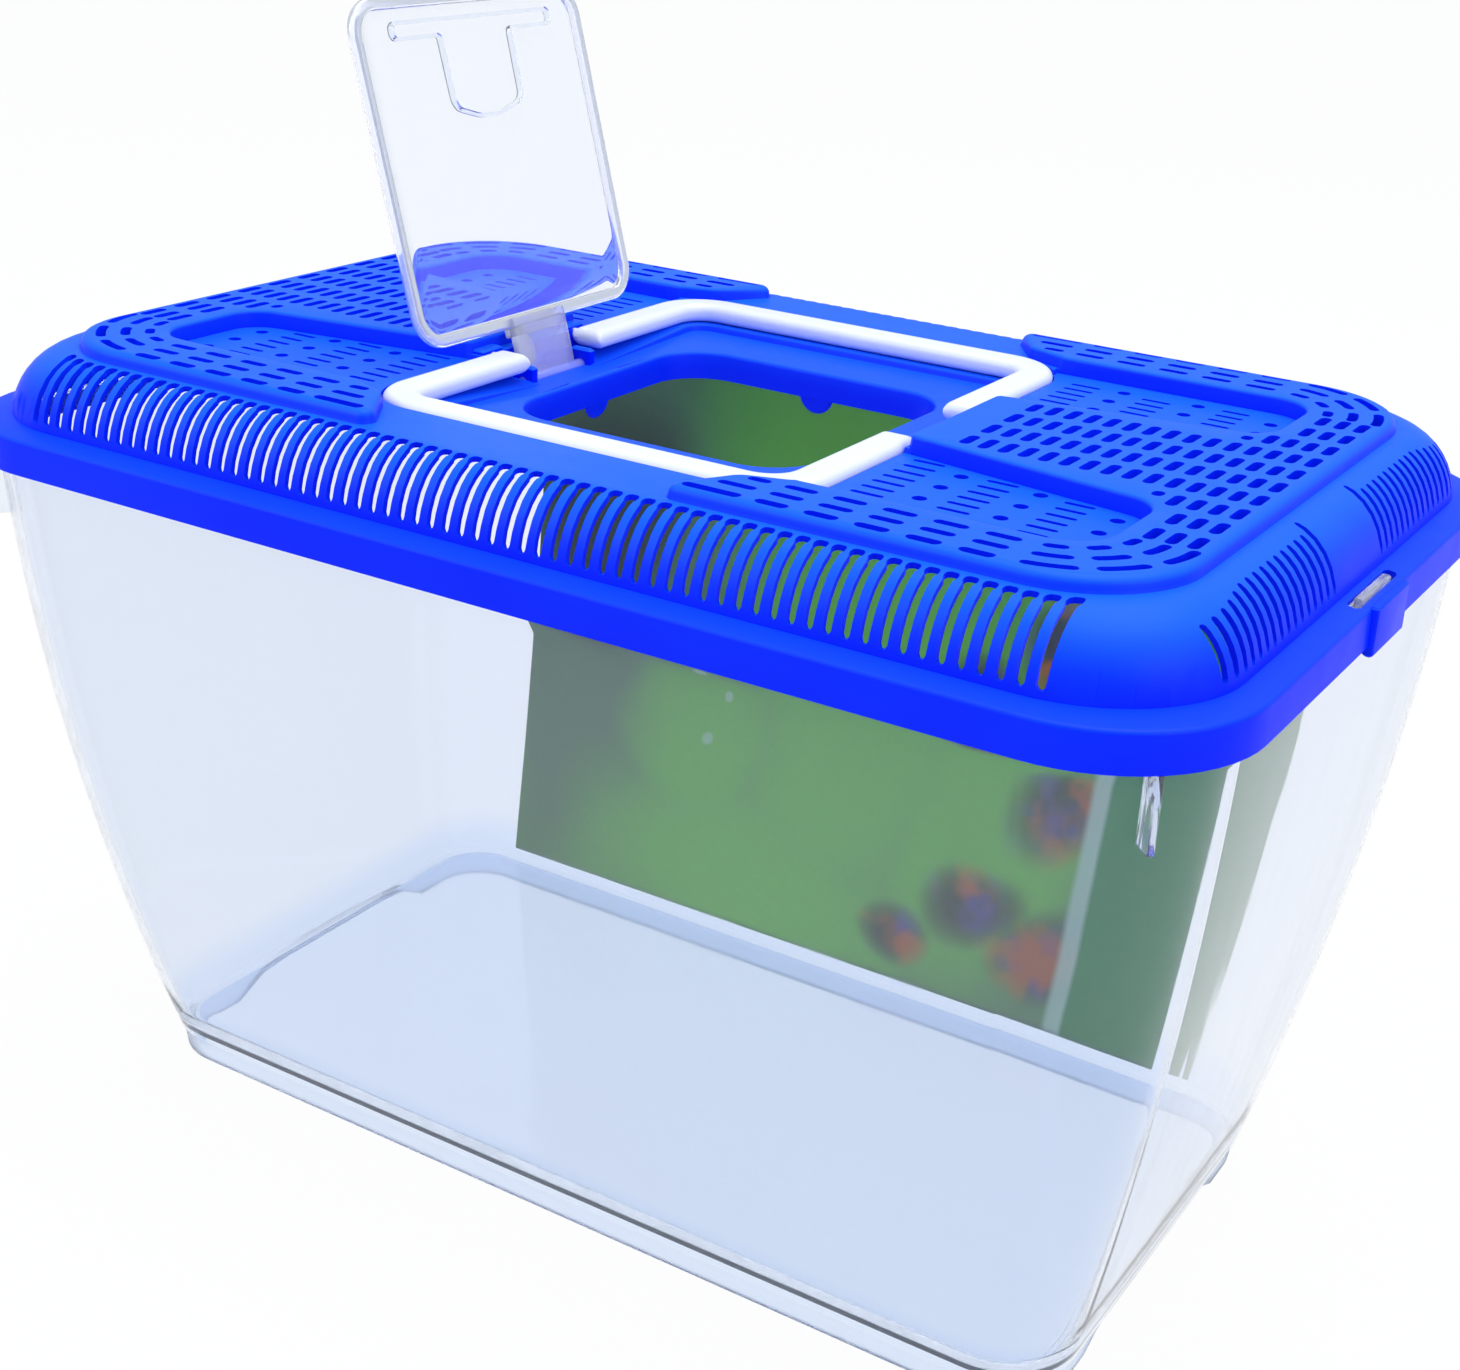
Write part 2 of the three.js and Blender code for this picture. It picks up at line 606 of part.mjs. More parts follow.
function makeTank() {
  const body = loft([
    tankLevel(FOOT_HEIGHT, FOOT_INSET),
    tankLevel(FOOT_HEIGHT + FOOT_INSET, 0),
    ...bendHeights().map((z) => tankLevel(z, 0)),
    tankLevel(SKIRT_BOTTOM_Z, 0),
    { ring: tankLevel(SKIRT_BOTTOM_Z, 0).ring, z: TANK_TOP_Z },
  ]);
  const rimRing = lidRing(LID_WALL + TANK_RIM_GAP);
  const rim = loft([
    { ring: rimRing, z: TANK_TOP_Z - TANK_RIM_HEIGHT },
    { ring: rimRing, z: TANK_TOP_Z },
  ]);
  const floorZ = FOOT_HEIGHT + TANK_FLOOR;
  const hollow = loft([
    tankLevel(floorZ, TANK_WALL + FOOT_INSET),
    tankLevel(floorZ + FOOT_INSET, TANK_WALL),
    ...bendHeights().map((z) => tankLevel(z, TANK_WALL)),
    tankLevel(SKIRT_BOTTOM_Z, TANK_WALL),
    { ring: tankLevel(SKIRT_BOTTOM_Z, TANK_WALL).ring, z: TANK_TOP_Z + CUT_OVERRUN },
  ]);

  // The foot ring under the base, open at the middle of each end
  const base = tankSection(FOOT_HEIGHT);
  const footRing = (inset) => roundedRing(
    base.length - inset,
    base.depth - inset,
    Math.max(base.corner - inset, FOOT_INSET),
  );
  const foot = slab(footRing(FOOT_INSET), 0, FOOT_HEIGHT + TANK_FLOOR / 2)
    .subtract(slab(footRing(FOOT_INSET + FOOT_RING_WIDTH), -CUT_OVERRUN, FOOT_HEIGHT))
    .subtract(block(
      [-LID_HALF_LENGTH, -FOOT_END_GAP, -CUT_OVERRUN],
      [LID_HALF_LENGTH, FOOT_END_GAP, FOOT_HEIGHT],
    ));

  // A lug at each end that shows in the lid's window
  const lugs = [-1, 1].map((s) => {
    const near = s * (LID_HALF_LENGTH - WINDOW_INSET - WINDOW_WIDTH + PIECE_GAP);
    const far = s * (LID_HALF_LENGTH - WINDOW_INSET - PIECE_GAP);
    return block(
      [Math.min(near, far), -LUG_HALF_WIDTH, TANK_TOP_Z - TANK_RIM_HEIGHT],
      [Math.max(near, far), LUG_HALF_WIDTH, TANK_TOP_Z + LUG_TOP_RISE],
    );
  });

  // A short upright rib outside each corner, under the rim
  const top = tankSection(SKIRT_BOTTOM_Z);
  const diagonal = top.corner * (1 - Math.SQRT1_2);
  const ribs = [-1, 1].flatMap((sx) => [-1, 1].map((sy) => {
    const geometry = new THREE.BoxGeometry(
      CORNER_RIB_DEPTH * 2,
      CORNER_RIB_WIDTH,
      CORNER_RIB_DROP - PIECE_GAP,
    );
    geometry.rotateZ(sx * sy * Math.PI / 4);
    geometry.translate(
      sx * (top.length - diagonal),
      sy * (top.depth - diagonal),
      SKIRT_BOTTOM_Z - (CORNER_RIB_DROP + PIECE_GAP) / 2,
    );
    return solidOf(geometry);
  }));
  return joinAll([body, rim, foot, ...lugs, ...ribs]).subtract(hollow);
}

// Printed card that stands on the floor and leans on the inner face of the back wall
function makeCard() {
  const topZ = SKIRT_BOTTOM_Z - CARD_TOP_DROP;
  const stripe = (z) => {
    const section = tankSection(z);
    const half = section.length - CARD_SIDE_MARGIN - (section.corner - TANK_CORNER_BASE);
    const face = section.depth - TANK_WALL - PIECE_GAP;
    return {
      ring: [
        new THREE.Vector2(-half, face - CARD_THICKNESS),
        new THREE.Vector2(half, face - CARD_THICKNESS),
        new THREE.Vector2(half, face),
        new THREE.Vector2(-half, face),
      ],
      z,
    };
  };
  return loft([CARD_BOTTOM_Z, ...bendHeights(), topZ].map(stripe));
}

// One folding grip: a flat bar round half of the well, with a pin at each end.
function makeGrip(side) {
  const half = GRIP_HALF_LENGTH;
  const bar = GRIP_BAR_WIDTH;
  const ringOf = (inset) => shifted(
    roundedRing(half - inset, GRIP_REACH_Y - inset, GRIP_CORNER - inset),
    GRIP_CENTRE_X,
  );
  const low = GRIP_PIVOT_Z - GRIP_BAR_HEIGHT / 2;
  const high = GRIP_PIVOT_Z + GRIP_BAR_HEIGHT / 2;
  const loop = slab(ringOf(0), low, high).subtract(
    slab(ringOf(bar), low - CUT_OVERRUN, high + CUT_OVERRUN),
  );
  const near = side * GRIP_PIVOT_Y;
  const far = side * (GRIP_REACH_Y + CUT_OVERRUN);
  const keep = block(
    [GRIP_CENTRE_X - half - CUT_OVERRUN, Math.min(near, far), low],
    [GRIP_CENTRE_X + half + CUT_OVERRUN, Math.max(near, far), high],
  );
  const roundEnds = [-1, 1].map((s) => {
    const centre = GRIP_CENTRE_X + s * (half - bar / 2);
    return roundBar(
      "x",
      centre - bar / 2,
      centre + bar / 2,
      GRIP_BAR_HEIGHT / 2,
      near,
      GRIP_PIVOT_Z,
    );
  });
  const pins = [-1, 1].map((s) => {
    const from = GRIP_CENTRE_X + s * (half - bar / 2);
    const to = GRIP_CENTRE_X + s * (half + WELL_MARGIN + GRIP_PIN_LENGTH - PIECE_GAP);
    return roundBar(
      "x",
      Math.min(from, to),
      Math.max(from, to),
      GRIP_PIN_RADIUS,
      near,
      GRIP_PIVOT_Z,
    );
  });
  return loop.intersect(keep).add(joinAll([...roundEnds, ...pins]));
}

// The hatch drawn closed, with its pin at the origin and its free end towards +X, then turned open.
function makeHatch() {
  const from = HATCH_EDGE_REACH;
  const to = from + HATCH_LENGTH;
  const ringOf = (inset) => shifted(
    roundedRing(HATCH_LENGTH / 2 - inset, HATCH_HALF_WIDTH - inset, HATCH_CORNER - inset),
    from + HATCH_LENGTH / 2,
  );
  const under = HATCH_RISE - HATCH_RIM_DEPTH / 2;
  const over = HATCH_RISE + HATCH_RIM_DEPTH / 2;
  const plate = slab(ringOf(0), under, over).subtract(
    slab(ringOf(HATCH_RIM_WIDTH), under - CUT_OVERRUN, over - HATCH_PLATE),
  );
  const leaf = block(
    [-HATCH_PIN_RADIUS / 2, -HATCH_LEAF_HALF_WIDTH, HATCH_LEAF_LOW],
    [from + HATCH_RIM_WIDTH, HATCH_LEAF_HALF_WIDTH, HATCH_LEAF_HIGH],
  );
  const riser = block(
    [from - HATCH_RIM_WIDTH, -HATCH_LEAF_HALF_WIDTH, HATCH_LEAF_LOW],
    [from + HATCH_RIM_WIDTH, HATCH_LEAF_HALF_WIDTH, over],
  );
  const pin = roundBar("y", -HATCH_PIN_HALF_LENGTH, HATCH_PIN_HALF_LENGTH, HATCH_PIN_RADIUS, 0, 0);

  // The finger grip under the free end: a shallow strip with a rounded tongue
  const gripTop = over - HATCH_PLATE / 2;
  const gripFrom = to - HATCH_RIM_WIDTH;
  const strip = block(
    [gripFrom - HATCH_GRIP_LENGTH, -HATCH_GRIP_HALF_WIDTH, under],
    [gripFrom - HATCH_GRIP_LENGTH + HATCH_GRIP_WALL, HATCH_GRIP_HALF_WIDTH, gripTop],
  );
  const tongueOf = (inset) => shifted(
    roundedRing(
      HATCH_TONGUE_LENGTH / 2 - inset,
      HATCH_TONGUE_HALF_WIDTH - inset,
      HATCH_TONGUE_HALF_WIDTH / 2,
    ),
    gripFrom - HATCH_GRIP_LENGTH - HATCH_TONGUE_LENGTH / 2 + HATCH_GRIP_WALL,
  );
  const tongue = slab(tongueOf(0), under, gripTop)
    .subtract(slab(tongueOf(HATCH_GRIP_WALL), under - CUT_OVERRUN, gripTop - HATCH_PLATE / 2));
  return joinAll([plate, leaf, riser, pin, strip, tongue]);
}

const CLEAR_FINISH = { color: 0xdfe8f4, roughness: 0.08, metalness: 0, transparent: true, opacity: 0.4 };
const BLUE_FINISH = { color: 0x1450f0, roughness: 0.42, metalness: 0 };
const WHITE_FINISH = { color: 0xf0f4fb, roughness: 0.4, metalness: 0 };
const CARD_FINISH = { color: 0x6fae72, roughness: 0.6, metalness: 0 };

const aquarium = new THREE.Group();
aquarium.add(meshOf(makeTank(), "tank", CLEAR_FINISH));
aquarium.add(meshOf(makeCard(), "backdrop_card", CARD_FINISH));
aquarium.add(meshOf(makeLid(), "lid", BLUE_FINISH));
aquarium.add(meshOf(makeGrip(-1), "front_grip", WHITE_FINISH));
aquarium.add(meshOf(makeGrip(1), "back_grip", WHITE_FINISH));

const hatch = meshOf(makeHatch(), "hatch", CLEAR_FINISH);
hatch.position.set(HATCH_PIN_X, 0, HATCH_PIN_Z);
hatch.rotation.y = -THREE.MathUtils.degToRad(HATCH_OPEN_DEG);
aquarium.add(hatch);

export default aquarium;
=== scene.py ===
"""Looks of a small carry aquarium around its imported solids.

A clear tapered tank with a printed card against its back wall carries a blue lid. The lid has slits
round its shoulder, two raised perforated panels, a well with a feeding opening, two white grips that
lie flat in the well, and a clear hatch that stands open at the left. Lengths in the classes are
millimetres.
"""
import logging
import math
from dataclasses import dataclass, field
from enum import Enum
from typing import Callable, Sequence

import bpy
import numpy as np
from mathutils import Matrix, Vector
from mathutils.geometry import delaunay_2d_cdt


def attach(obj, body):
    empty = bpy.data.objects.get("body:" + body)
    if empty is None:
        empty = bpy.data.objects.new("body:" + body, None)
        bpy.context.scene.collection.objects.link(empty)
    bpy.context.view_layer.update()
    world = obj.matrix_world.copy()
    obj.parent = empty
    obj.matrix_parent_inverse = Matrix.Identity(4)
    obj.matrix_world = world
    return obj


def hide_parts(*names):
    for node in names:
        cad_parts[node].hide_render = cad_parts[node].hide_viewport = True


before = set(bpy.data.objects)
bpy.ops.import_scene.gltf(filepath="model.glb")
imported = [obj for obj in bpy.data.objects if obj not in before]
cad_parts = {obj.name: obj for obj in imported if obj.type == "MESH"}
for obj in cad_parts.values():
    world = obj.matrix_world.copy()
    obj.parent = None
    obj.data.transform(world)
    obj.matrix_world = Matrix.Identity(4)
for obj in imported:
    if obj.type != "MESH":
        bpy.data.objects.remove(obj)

LOG = logging.getLogger("aquarium")
MM = 0.001
UP = np.array([0.0, 0.0, 1.0])
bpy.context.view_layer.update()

Array = np.ndarray
Colour = tuple[float, float, float]
Table = tuple[tuple[float, ...], ...]
Steps = tuple[float, float, float, float]


class Side(Enum):
    """Front and back, or left and right, as the sign of the axis."""

    LOW = -1
    HIGH = 1


# Shader maths


class Value:
    """A shader socket that can be used in Python expressions."""

    def __init__(self, tree: "Finish", socket: object) -> None:
        """Wraps a socket of a finish's node tree."""
        self.tree = tree
        self.socket = socket

    def _math(self, operation: str, *values: object) -> "Value":
        """Adds a Math node for an operation on this and other values."""
        return self.tree.node("ShaderNodeMath", {"operation": operation}, dict(enumerate(values)))

    def __add__(self, other: object) -> "Value":
        """Sum."""
        return self._math("ADD", self, other)

    __radd__ = __add__

    def __sub__(self, other: object) -> "Value":
        """Difference."""
        return self._math("SUBTRACT", self, other)

    def __rsub__(self, other: object) -> "Value":
        """Reflected difference."""
        return self._math("SUBTRACT", other, self)

    def __mul__(self, other: object) -> "Value":
        """Product."""
        return self._math("MULTIPLY", self, other)

    __rmul__ = __mul__

    def __truediv__(self, other: object) -> "Value":
        """Quotient."""
        return self._math("DIVIDE", self, other)

    def maximum(self, other: object) -> "Value":
        """The larger of two values."""
        return self._math("MAXIMUM", self, other)

    def ramp(self, low: float, high: float) -> "Value":
        """A smooth step from nought at low to one at high.

        Args:
            low: value at which the step starts.
            high: value at which it ends.

        Returns:
            The step as a value.
        """
        return self.tree.node(
            "ShaderNodeMapRange",
            {"interpolation_type": "SMOOTHSTEP"},
            {"Value": self, "From Min": low, "From Max": high},
        )


class Finish:
    """A material under construction, with one Principled shader at its end."""

    def __init__(self, name: str) -> None:
        """Starts an empty material.

        Args:
            name: plain name of the material.
        """
        self.material = bpy.data.materials.new(name)
        self.material.use_nodes = True
        self.nodes = self.material.node_tree.nodes
        self.links = self.material.node_tree.links
        self.nodes.clear()
        self.output = self.nodes.new("ShaderNodeOutputMaterial")

    def node(self, kind: str, settings: dict, values: dict, out: object = 0) -> Value:
        """Adds any node.

        Args:
            kind: the node's type.
            settings: the node's own settings, such as an operation, set before the sockets.
            values: numbers, colours or values for the input sockets, by name or number.
            out: the output socket wanted, by name or number.

        Returns:
            The output socket as a value.
        """
        node = self.nodes.new(kind)
        for key, setting in settings.items():
            setattr(node, key, setting)
        for key, value in values.items():
            if isinstance(value, Value):
                self.links.new(value.socket, node.inputs[key])
            else:
                node.inputs[key].default_value = value
        return Value(self, node.outputs[out])

    def place(self, scale: tuple[float, float, float] = (1.0, 1.0, 1.0)) -> Value:
        """The object's own coordinates in metres, scaled along each axis."""
        coordinates = self.node("ShaderNodeTexCoord", {}, {}, "Object")
        return self.node("ShaderNodeMapping", {}, {"Vector": coordinates, "Scale": scale})

    def noise(self, scale: float, detail: float = 3.0, where: Value | None = None) -> Value:
        """Noise over the object's own coordinates.

        Args:
            scale: repeats in a metre.
            detail: octaves.
            where: other coordinates to read, or None.

        Returns:
            The noise, from nought to one.
        """
        return self.node(
            "ShaderNodeTexNoise",
            {},
            {"Vector": where or self.place(), "Scale": scale, "Detail": detail},
        )

    def stepped(self, steps: Steps, where: Value | None = None) -> Value:
        """Noise stepped up between two of its values.

        Args:
            steps: repeats in a metre, octaves, and the values where the step starts and ends.
            where: other coordinates to read, or None.

        Returns:
            The share, from nought to one.
        """
        scale, detail, low, high = steps
        return self.noise(scale, detail, where).ramp(low, high)

    def part(self, vector: Value, axis: str) -> Value:
        """One coordinate of a vector."""
        return self.node("ShaderNodeSeparateXYZ", {}, {"Vector": vector}, axis)

    def mix(self, share: object, low: object, high: object) -> Value:
        """A colour mixed from two colours.

        Args:
            share: how much of the second colour.
            low: the first colour.
            high: the second colour.

        Returns:
            The mixed colour.
        """
        def rgba(value: object) -> object:
            """The value itself, or a plain colour with an alpha of one."""
            return value if isinstance(value, Value) else (*value, 1.0)

        return self.node(
            "ShaderNodeMix",
            {"data_type": "RGBA"},
            {0: share, 6: rgba(low), 7: rgba(high)},
            2,
        )

    def bump(self, height: Value, strength: float, distance: float) -> Value:
        """A normal from a height."""
        return self.node(
            "ShaderNodeBump", {}, {"Height": height, "Strength": strength, "Distance": distance},
        )

    def principled(self, **sockets: object) -> "Finish":
        """Ends the material in a Principled shader.

        Args:
            **sockets: socket names with underscores for spaces, and their values.

        Returns:
            This finish.
        """
        named = {key.replace("_", " "): value for key, value in sockets.items()}
        if "Base Color" in named and not isinstance(named["Base Color"], Value):
            named["Base Color"] = (*named["Base Color"], 1.0)
        shader = self.node("ShaderNodeBsdfPrincipled", {}, named)
        self.links.new(shader.socket, self.output.inputs["Surface"])
        return self


@dataclass(frozen=True)
class MouldedPlastic:
    """An opaque injection-moulded plastic with a fine satin grain."""

    name: str
    colour: Colour
    deep: Colour
    roughness: float = 0.36
    patch_depth: float = 0.12
    patch_scale: float = 126.0
    grain_scale: float = 2600.0
    grain_depth: float = 0.00003
    grain_strength: float = 0.25
    clouds: Steps = (14.0, 2.0, 0.3, 0.7)
    specular: float = 0.5
    index: float = 1.49
    # Painted top light and sheen: a paler, more cyan colour on faces that look up, fullest on high
    # faces; lower faces in recesses keep the darker colour as painted shade.
    painted_top_light: Colour | None = None
    painted_light_z: tuple[float, float] = (0.186, 0.1985)
    painted_light_turn: tuple[float, float] = (-0.1, 0.95)
    painted_light_low: float = 0.35

    def build(self) -> bpy.types.Material:
        """Colour clouds, roughness patches, a fine grain, and painted light: a paler colour on high
        faces that look up.

        The painted light's share is the upward turn's step times its low share, rising to one with the
        height; lower faces in recesses keep the darker colour as painted shade.

        Returns:
            The material.
        """
        finish = Finish(self.name)
        clouds = finish.stepped(self.clouds)
        patches = finish.noise(self.patch_scale, 4.0)
        grain = finish.noise(self.grain_scale, 2.0)
        colour = finish.mix(clouds, self.deep, self.colour)
        # Painted light: upward faces, and high ones most, take the paler colour in place of the light
        # from above and its sheen.
        if self.painted_top_light:
            high = finish.part(finish.place(), "Z").ramp(*self.painted_light_z)
            facing = finish.node("ShaderNodeNewGeometry", {}, {}, "Normal")
            upward = finish.part(facing, "Z").ramp(*self.painted_light_turn)
            share = upward * (self.painted_light_low + high * (1.0 - self.painted_light_low))
            colour = finish.mix(share, colour, self.painted_top_light)
        finish.principled(
            Base_Color=colour,
            Roughness=self.roughness - self.patch_depth / 2 + patches * self.patch_depth,
            Normal=finish.bump(grain, self.grain_strength, self.grain_depth),
            IOR=self.index,
            Specular_IOR_Level=self.specular,
        )
        return finish.material


@dataclass(frozen=True)
class ClearPlastic:
    """A clear moulded plastic with a slight haze, faint flow waves and a cool tint."""

    name: str
    tint: Colour
    roughness: float
    wave_depth: float
    wave_scale: float = 26.0
    wave_stretch: Colour = (1.0, 1.0, 0.35)
    wave_strength: float = 0.35
    smears: Steps = (70.0, 3.0, 0.35, 0.8)
    haze: float = 0.0
    milk: float = 0.0
    index: float = 1.46
    foot_tint: Colour | None = None
    foot_tint_z: tuple[float, float] = (0.010, 0.022)
    foot_haze: float = 0.0
    foot_haze_z: tuple[float, float] = (0.005, 0.0088)

    def build(self) -> bpy.types.Material:
        """A transmissive shader with flow waves in its normal and smears in its roughness.

        At the foot the tint deepens and the roughness rises, where foot_tint and foot_haze are given.

        Returns:
            The material.
        """
        finish = Finish(self.name)
        waves = finish.noise(self.wave_scale, 2.0, finish.place(self.wave_stretch))
        colour: object = self.tint
        roughness = self.roughness + finish.stepped(self.smears) * self.haze
        if self.foot_tint:
            height = finish.part(finish.place(), "Z").ramp(*self.foot_tint_z)
            colour = finish.mix(height, self.foot_tint, self.tint)
        if self.foot_haze:
            low = 1.0 - finish.part(finish.place(), "Z").ramp(*self.foot_haze_z)
            roughness = roughness + low * self.foot_haze
        finish.principled(
            Base_Color=colour,
            Roughness=roughness,
            Normal=finish.bump(waves, self.wave_strength, self.wave_depth),
            Transmission_Weight=1.0 - self.milk,
            IOR=self.index,
            Specular_IOR_Level=0.5,
        )
        return finish.material


@dataclass(frozen=True)
class PrintedCard:
    """A satin print of out-of-focus water plants over pebbles, with bubbles, a plain side strip, and a
    painted highlight band before the strip.

    Tables of spots hold ellipses as centre and half sizes, in millimetres on the card. The look of
    such a layer is the value at which an ellipse is full, and the layer's strength.
    """

    name: str = "printed_card"
    haze: Colour = (0.085, 0.20, 0.105)
    leaf: Colour = (0.06, 0.33, 0.055)
    bright: Colour = (0.13, 0.50, 0.06)
    dark: Colour = (0.02, 0.035, 0.03)
    violet: Colour = (0.07, 0.045, 0.22)
    rust: Colour = (0.42, 0.10, 0.02)
    # The bubbles' printed colour, which is also painted as the highlight band along the card's fold.
    foam_and_highlight: Colour = (0.42, 0.62, 0.50)
    border: Colour = (0.02, 0.24, 0.075)
    broad: Steps = (8.0, 0.6, 0.40, 0.60)
    broad_stretch: Colour = (1.0, 0.0, 0.6)
    stems: Steps = (24.0, 0.8, 0.46, 0.72)
    stem_stretch: Colour = (1.0, 0.0, 0.2)
    stem_lean: float = 0.4
    stem_strength: float = 0.35
    mottle: Steps = (75.0, 2.5, 0.40, 0.66)
    veins: Steps = (52.0, 3.0, 0.47, 0.68)
    vein_strength: float = 0.9
    drift_x: float = 34.0
    drift_z: float = 26.0
    drift_x_noise: tuple[float, float] = (22.0, 1.5)
    drift_z_noise: tuple[float, float] = (17.0, 1.5)
    pebble_hold: float = 0.7
    strip_hold: float = 0.9
    border_x: tuple[float, float] = (76.0, 78.0)
    # The pale band's place and strength: a painted highlight along the card's fold by the tank's corner.
    fold_highlight_x: tuple[float, float] = (70.0, 73.0)
    fold_highlight_strength: float = 0.8
    glade_look: tuple[float, float] = (0.95, 0.9)
    shade_look: tuple[float, float] = (0.9, 0.85)
    pebble_look: tuple[float, float] = (0.95, 0.95)
    bubble_look: tuple[float, float] = (0.8, 0.5)
    roughness: float = 0.42
    patch_depth: float = 0.1
    patch_scale: float = 160.0
    grain_scale: float = 900.0
    grain_strength: float = 0.1
    grain_depth: float = 0.00002
    index: float = 1.45
    glades: Table = (
        (-4.0, 92.0, 56.0, 104.0), (-30.0, 26.0, 84.0, 40.0), (40.0, 60.0, 40.0, 60.0),
        (-52.0, 60.0, 34.0, 40.0), (-14.0, 156.0, 64.0, 56.0),
    )
    shades: Table = ((-98.0, 122.0, 36.0, 46.0), (52.0, 146.0, 30.0, 18.0))
    pebbles: Table = (
        (22.0, 28.0, 14.0, 11.0), (44.0, 40.0, 19.0, 16.0), (66.0, 30.0, 20.0, 17.0),
        (62.0, 70.0, 19.0, 17.0), (36.0, 98.0, 15.0, 12.0), (60.0, 112.0, 19.0, 17.0),
    )
    bubbles: Table = (
        (-52.0, 64.0, 2.6, 2.6), (-47.0, 76.0, 1.8, 1.8),
        (-56.0, 88.0, 3.2, 3.2), (28.0, 100.0, 2.2, 2.2),
    )

    @staticmethod
    def spots(x: Value, z: Value, table: Table, edge: float) -> Value:
        """The union of soft ellipses, each 1 - ((x - cx) / rx)^2 - ((z - cz) / rz)^2, stepped up.

        Args:
            x: place across the card in millimetres.
            z: place up the card in millimetres.
            table: centre and half sizes of each ellipse.
            edge: the value at which an ellipse is full.

        Returns:
            The share, from nought to one.
        """
        union: object = 0.0
        for cx, cz, rx, rz in table:
            across, up = (x - cx) / rx, (z - cz) / rz
            union = (1.0 - across * across - up * up).maximum(union)
        return union.ramp(0.0, edge)

    def plants(self, finish: Finish, place: Value) -> tuple[Value, Value]:
        """The blurred ground of the print, broad leaves over haze, and the leaning stems.

        Args:
            finish: the material under construction.
            place: the card's own coordinates.

        Returns:
            The ground's colour and the stems' share.
        """
        broad = finish.stepped(self.broad, finish.place(self.broad_stretch))
        leaning = finish.node(
            "ShaderNodeMapping",
            {},
            {"Vector": place, "Rotation": (0.0, self.stem_lean, 0.0), "Scale": self.stem_stretch},
        )
        return finish.mix(broad, self.haze, self.leaf), finish.stepped(self.stems, leaning)

    def stone(self, finish: Finish) -> Value:
        """The pebbles' mottled colour, dark and violet with rust veins."""
        mottled = finish.mix(finish.stepped(self.mottle), self.dark, self.violet)
        return finish.mix(finish.stepped(self.veins) * self.vein_strength, mottled, self.rust)

    def build(self) -> bpy.types.Material:
        """Blurred leaves, glades, shades, pebbles and bubbles over the card's own place, and a pale
        painted highlight band by the side strip.

        Places drift with a slow noise; the pebbles and the side strip take part of the drift back.

        Returns:
            The material.
        """
        finish = Finish(self.name)
        place = finish.place()
        drift = (finish.noise(*self.drift_x_noise) - 0.5) * self.drift_x
        rise = (finish.noise(*self.drift_z_noise, place) - 0.5) * self.drift_z
        x = finish.part(place, "X") * (1 / MM) + drift
        z = finish.part(place, "Z") * (1 / MM) + rise
        still, strip = x - drift * self.pebble_hold, x - drift * self.strip_hold
        ground, stems = self.plants(finish, place)

        def spotted(across: Value, table: Table, look: tuple[float, float], colour: object) -> Value:
            """The ground with a layer of spots of a colour on it."""
            return finish.mix(self.spots(across, z, table, look[0]) * look[1], ground, colour)

        ground = spotted(x, self.glades, self.glade_look, self.bright)
        ground = finish.mix(stems * self.stem_strength, ground, self.bright)
        ground = spotted(x, self.shades, self.shade_look, self.dark)
        ground = spotted(still, self.pebbles, self.pebble_look, self.stone(finish))
        ground = spotted(still, self.bubbles, self.bubble_look, self.foam_and_highlight)
        # Painted highlight: a pale band just inside the side strip stands in for the highlight along the
        # card's fold at the tank's corner.
        ground = finish.mix(strip.ramp(*self.fold_highlight_x) * self.fold_highlight_strength, ground, self.foam_and_highlight)
        grain = finish.noise(self.grain_scale)
        finish.principled(
            Base_Color=finish.mix(strip.ramp(*self.border_x), ground, self.border),
            Roughness=self.roughness + finish.noise(self.patch_scale) * self.patch_depth,
            Normal=finish.bump(grain, self.grain_strength, self.grain_depth),
            IOR=self.index,
        )
        return finish.material


# Outlines and surfaces, as whole arrays


def directions(turns: Array) -> Array:
    """The vectors (cos a, sin a) of some angles, shape (n, 2)."""
    return np.column_stack([np.cos(turns), np.sin(turns)])


def rounded_ring(half_x: float, half_y: float, radius: float, corner: int, side: int) -> Array:
    """The outline of a rectangle with round corners, counter-clockwise from the +X side.

    Each corner is the quarter circle centre + radius (cos a, sin a); each side is split evenly.

    Args:
        half_x: half the size along X.
        half_y: half the size along Y.
        radius: corner radius.
        corner: steps in a corner.
        side: steps along a side.

    Returns:
        An array of points, shape (4 * (corner + side), 2).
    """
    arc = directions(np.linspace(0.0, math.pi / 2, corner + 1)) * radius
    centres = np.array([[1, 1], [-1, 1], [-1, -1], [1, -1]]) * (half_x - radius, half_y - radius)
    quarter = [np.array([[math.cos(a), -math.sin(a)], [math.sin(a), math.cos(a)]])
               for a in np.arange(4) * math.pi / 2]
    arcs = [centre + arc @ turn.T for centre, turn in zip(centres, quarter)]
    shares = np.linspace(0.0, 1.0, side + 1)[1:-1, None]
    pieces = []
    for here, following in zip(arcs, arcs[1:] + arcs[:1]):
        pieces.append(here)
        pieces.append(here[-1] + (following[0] - here[-1]) * shares)
    return np.concatenate(pieces)


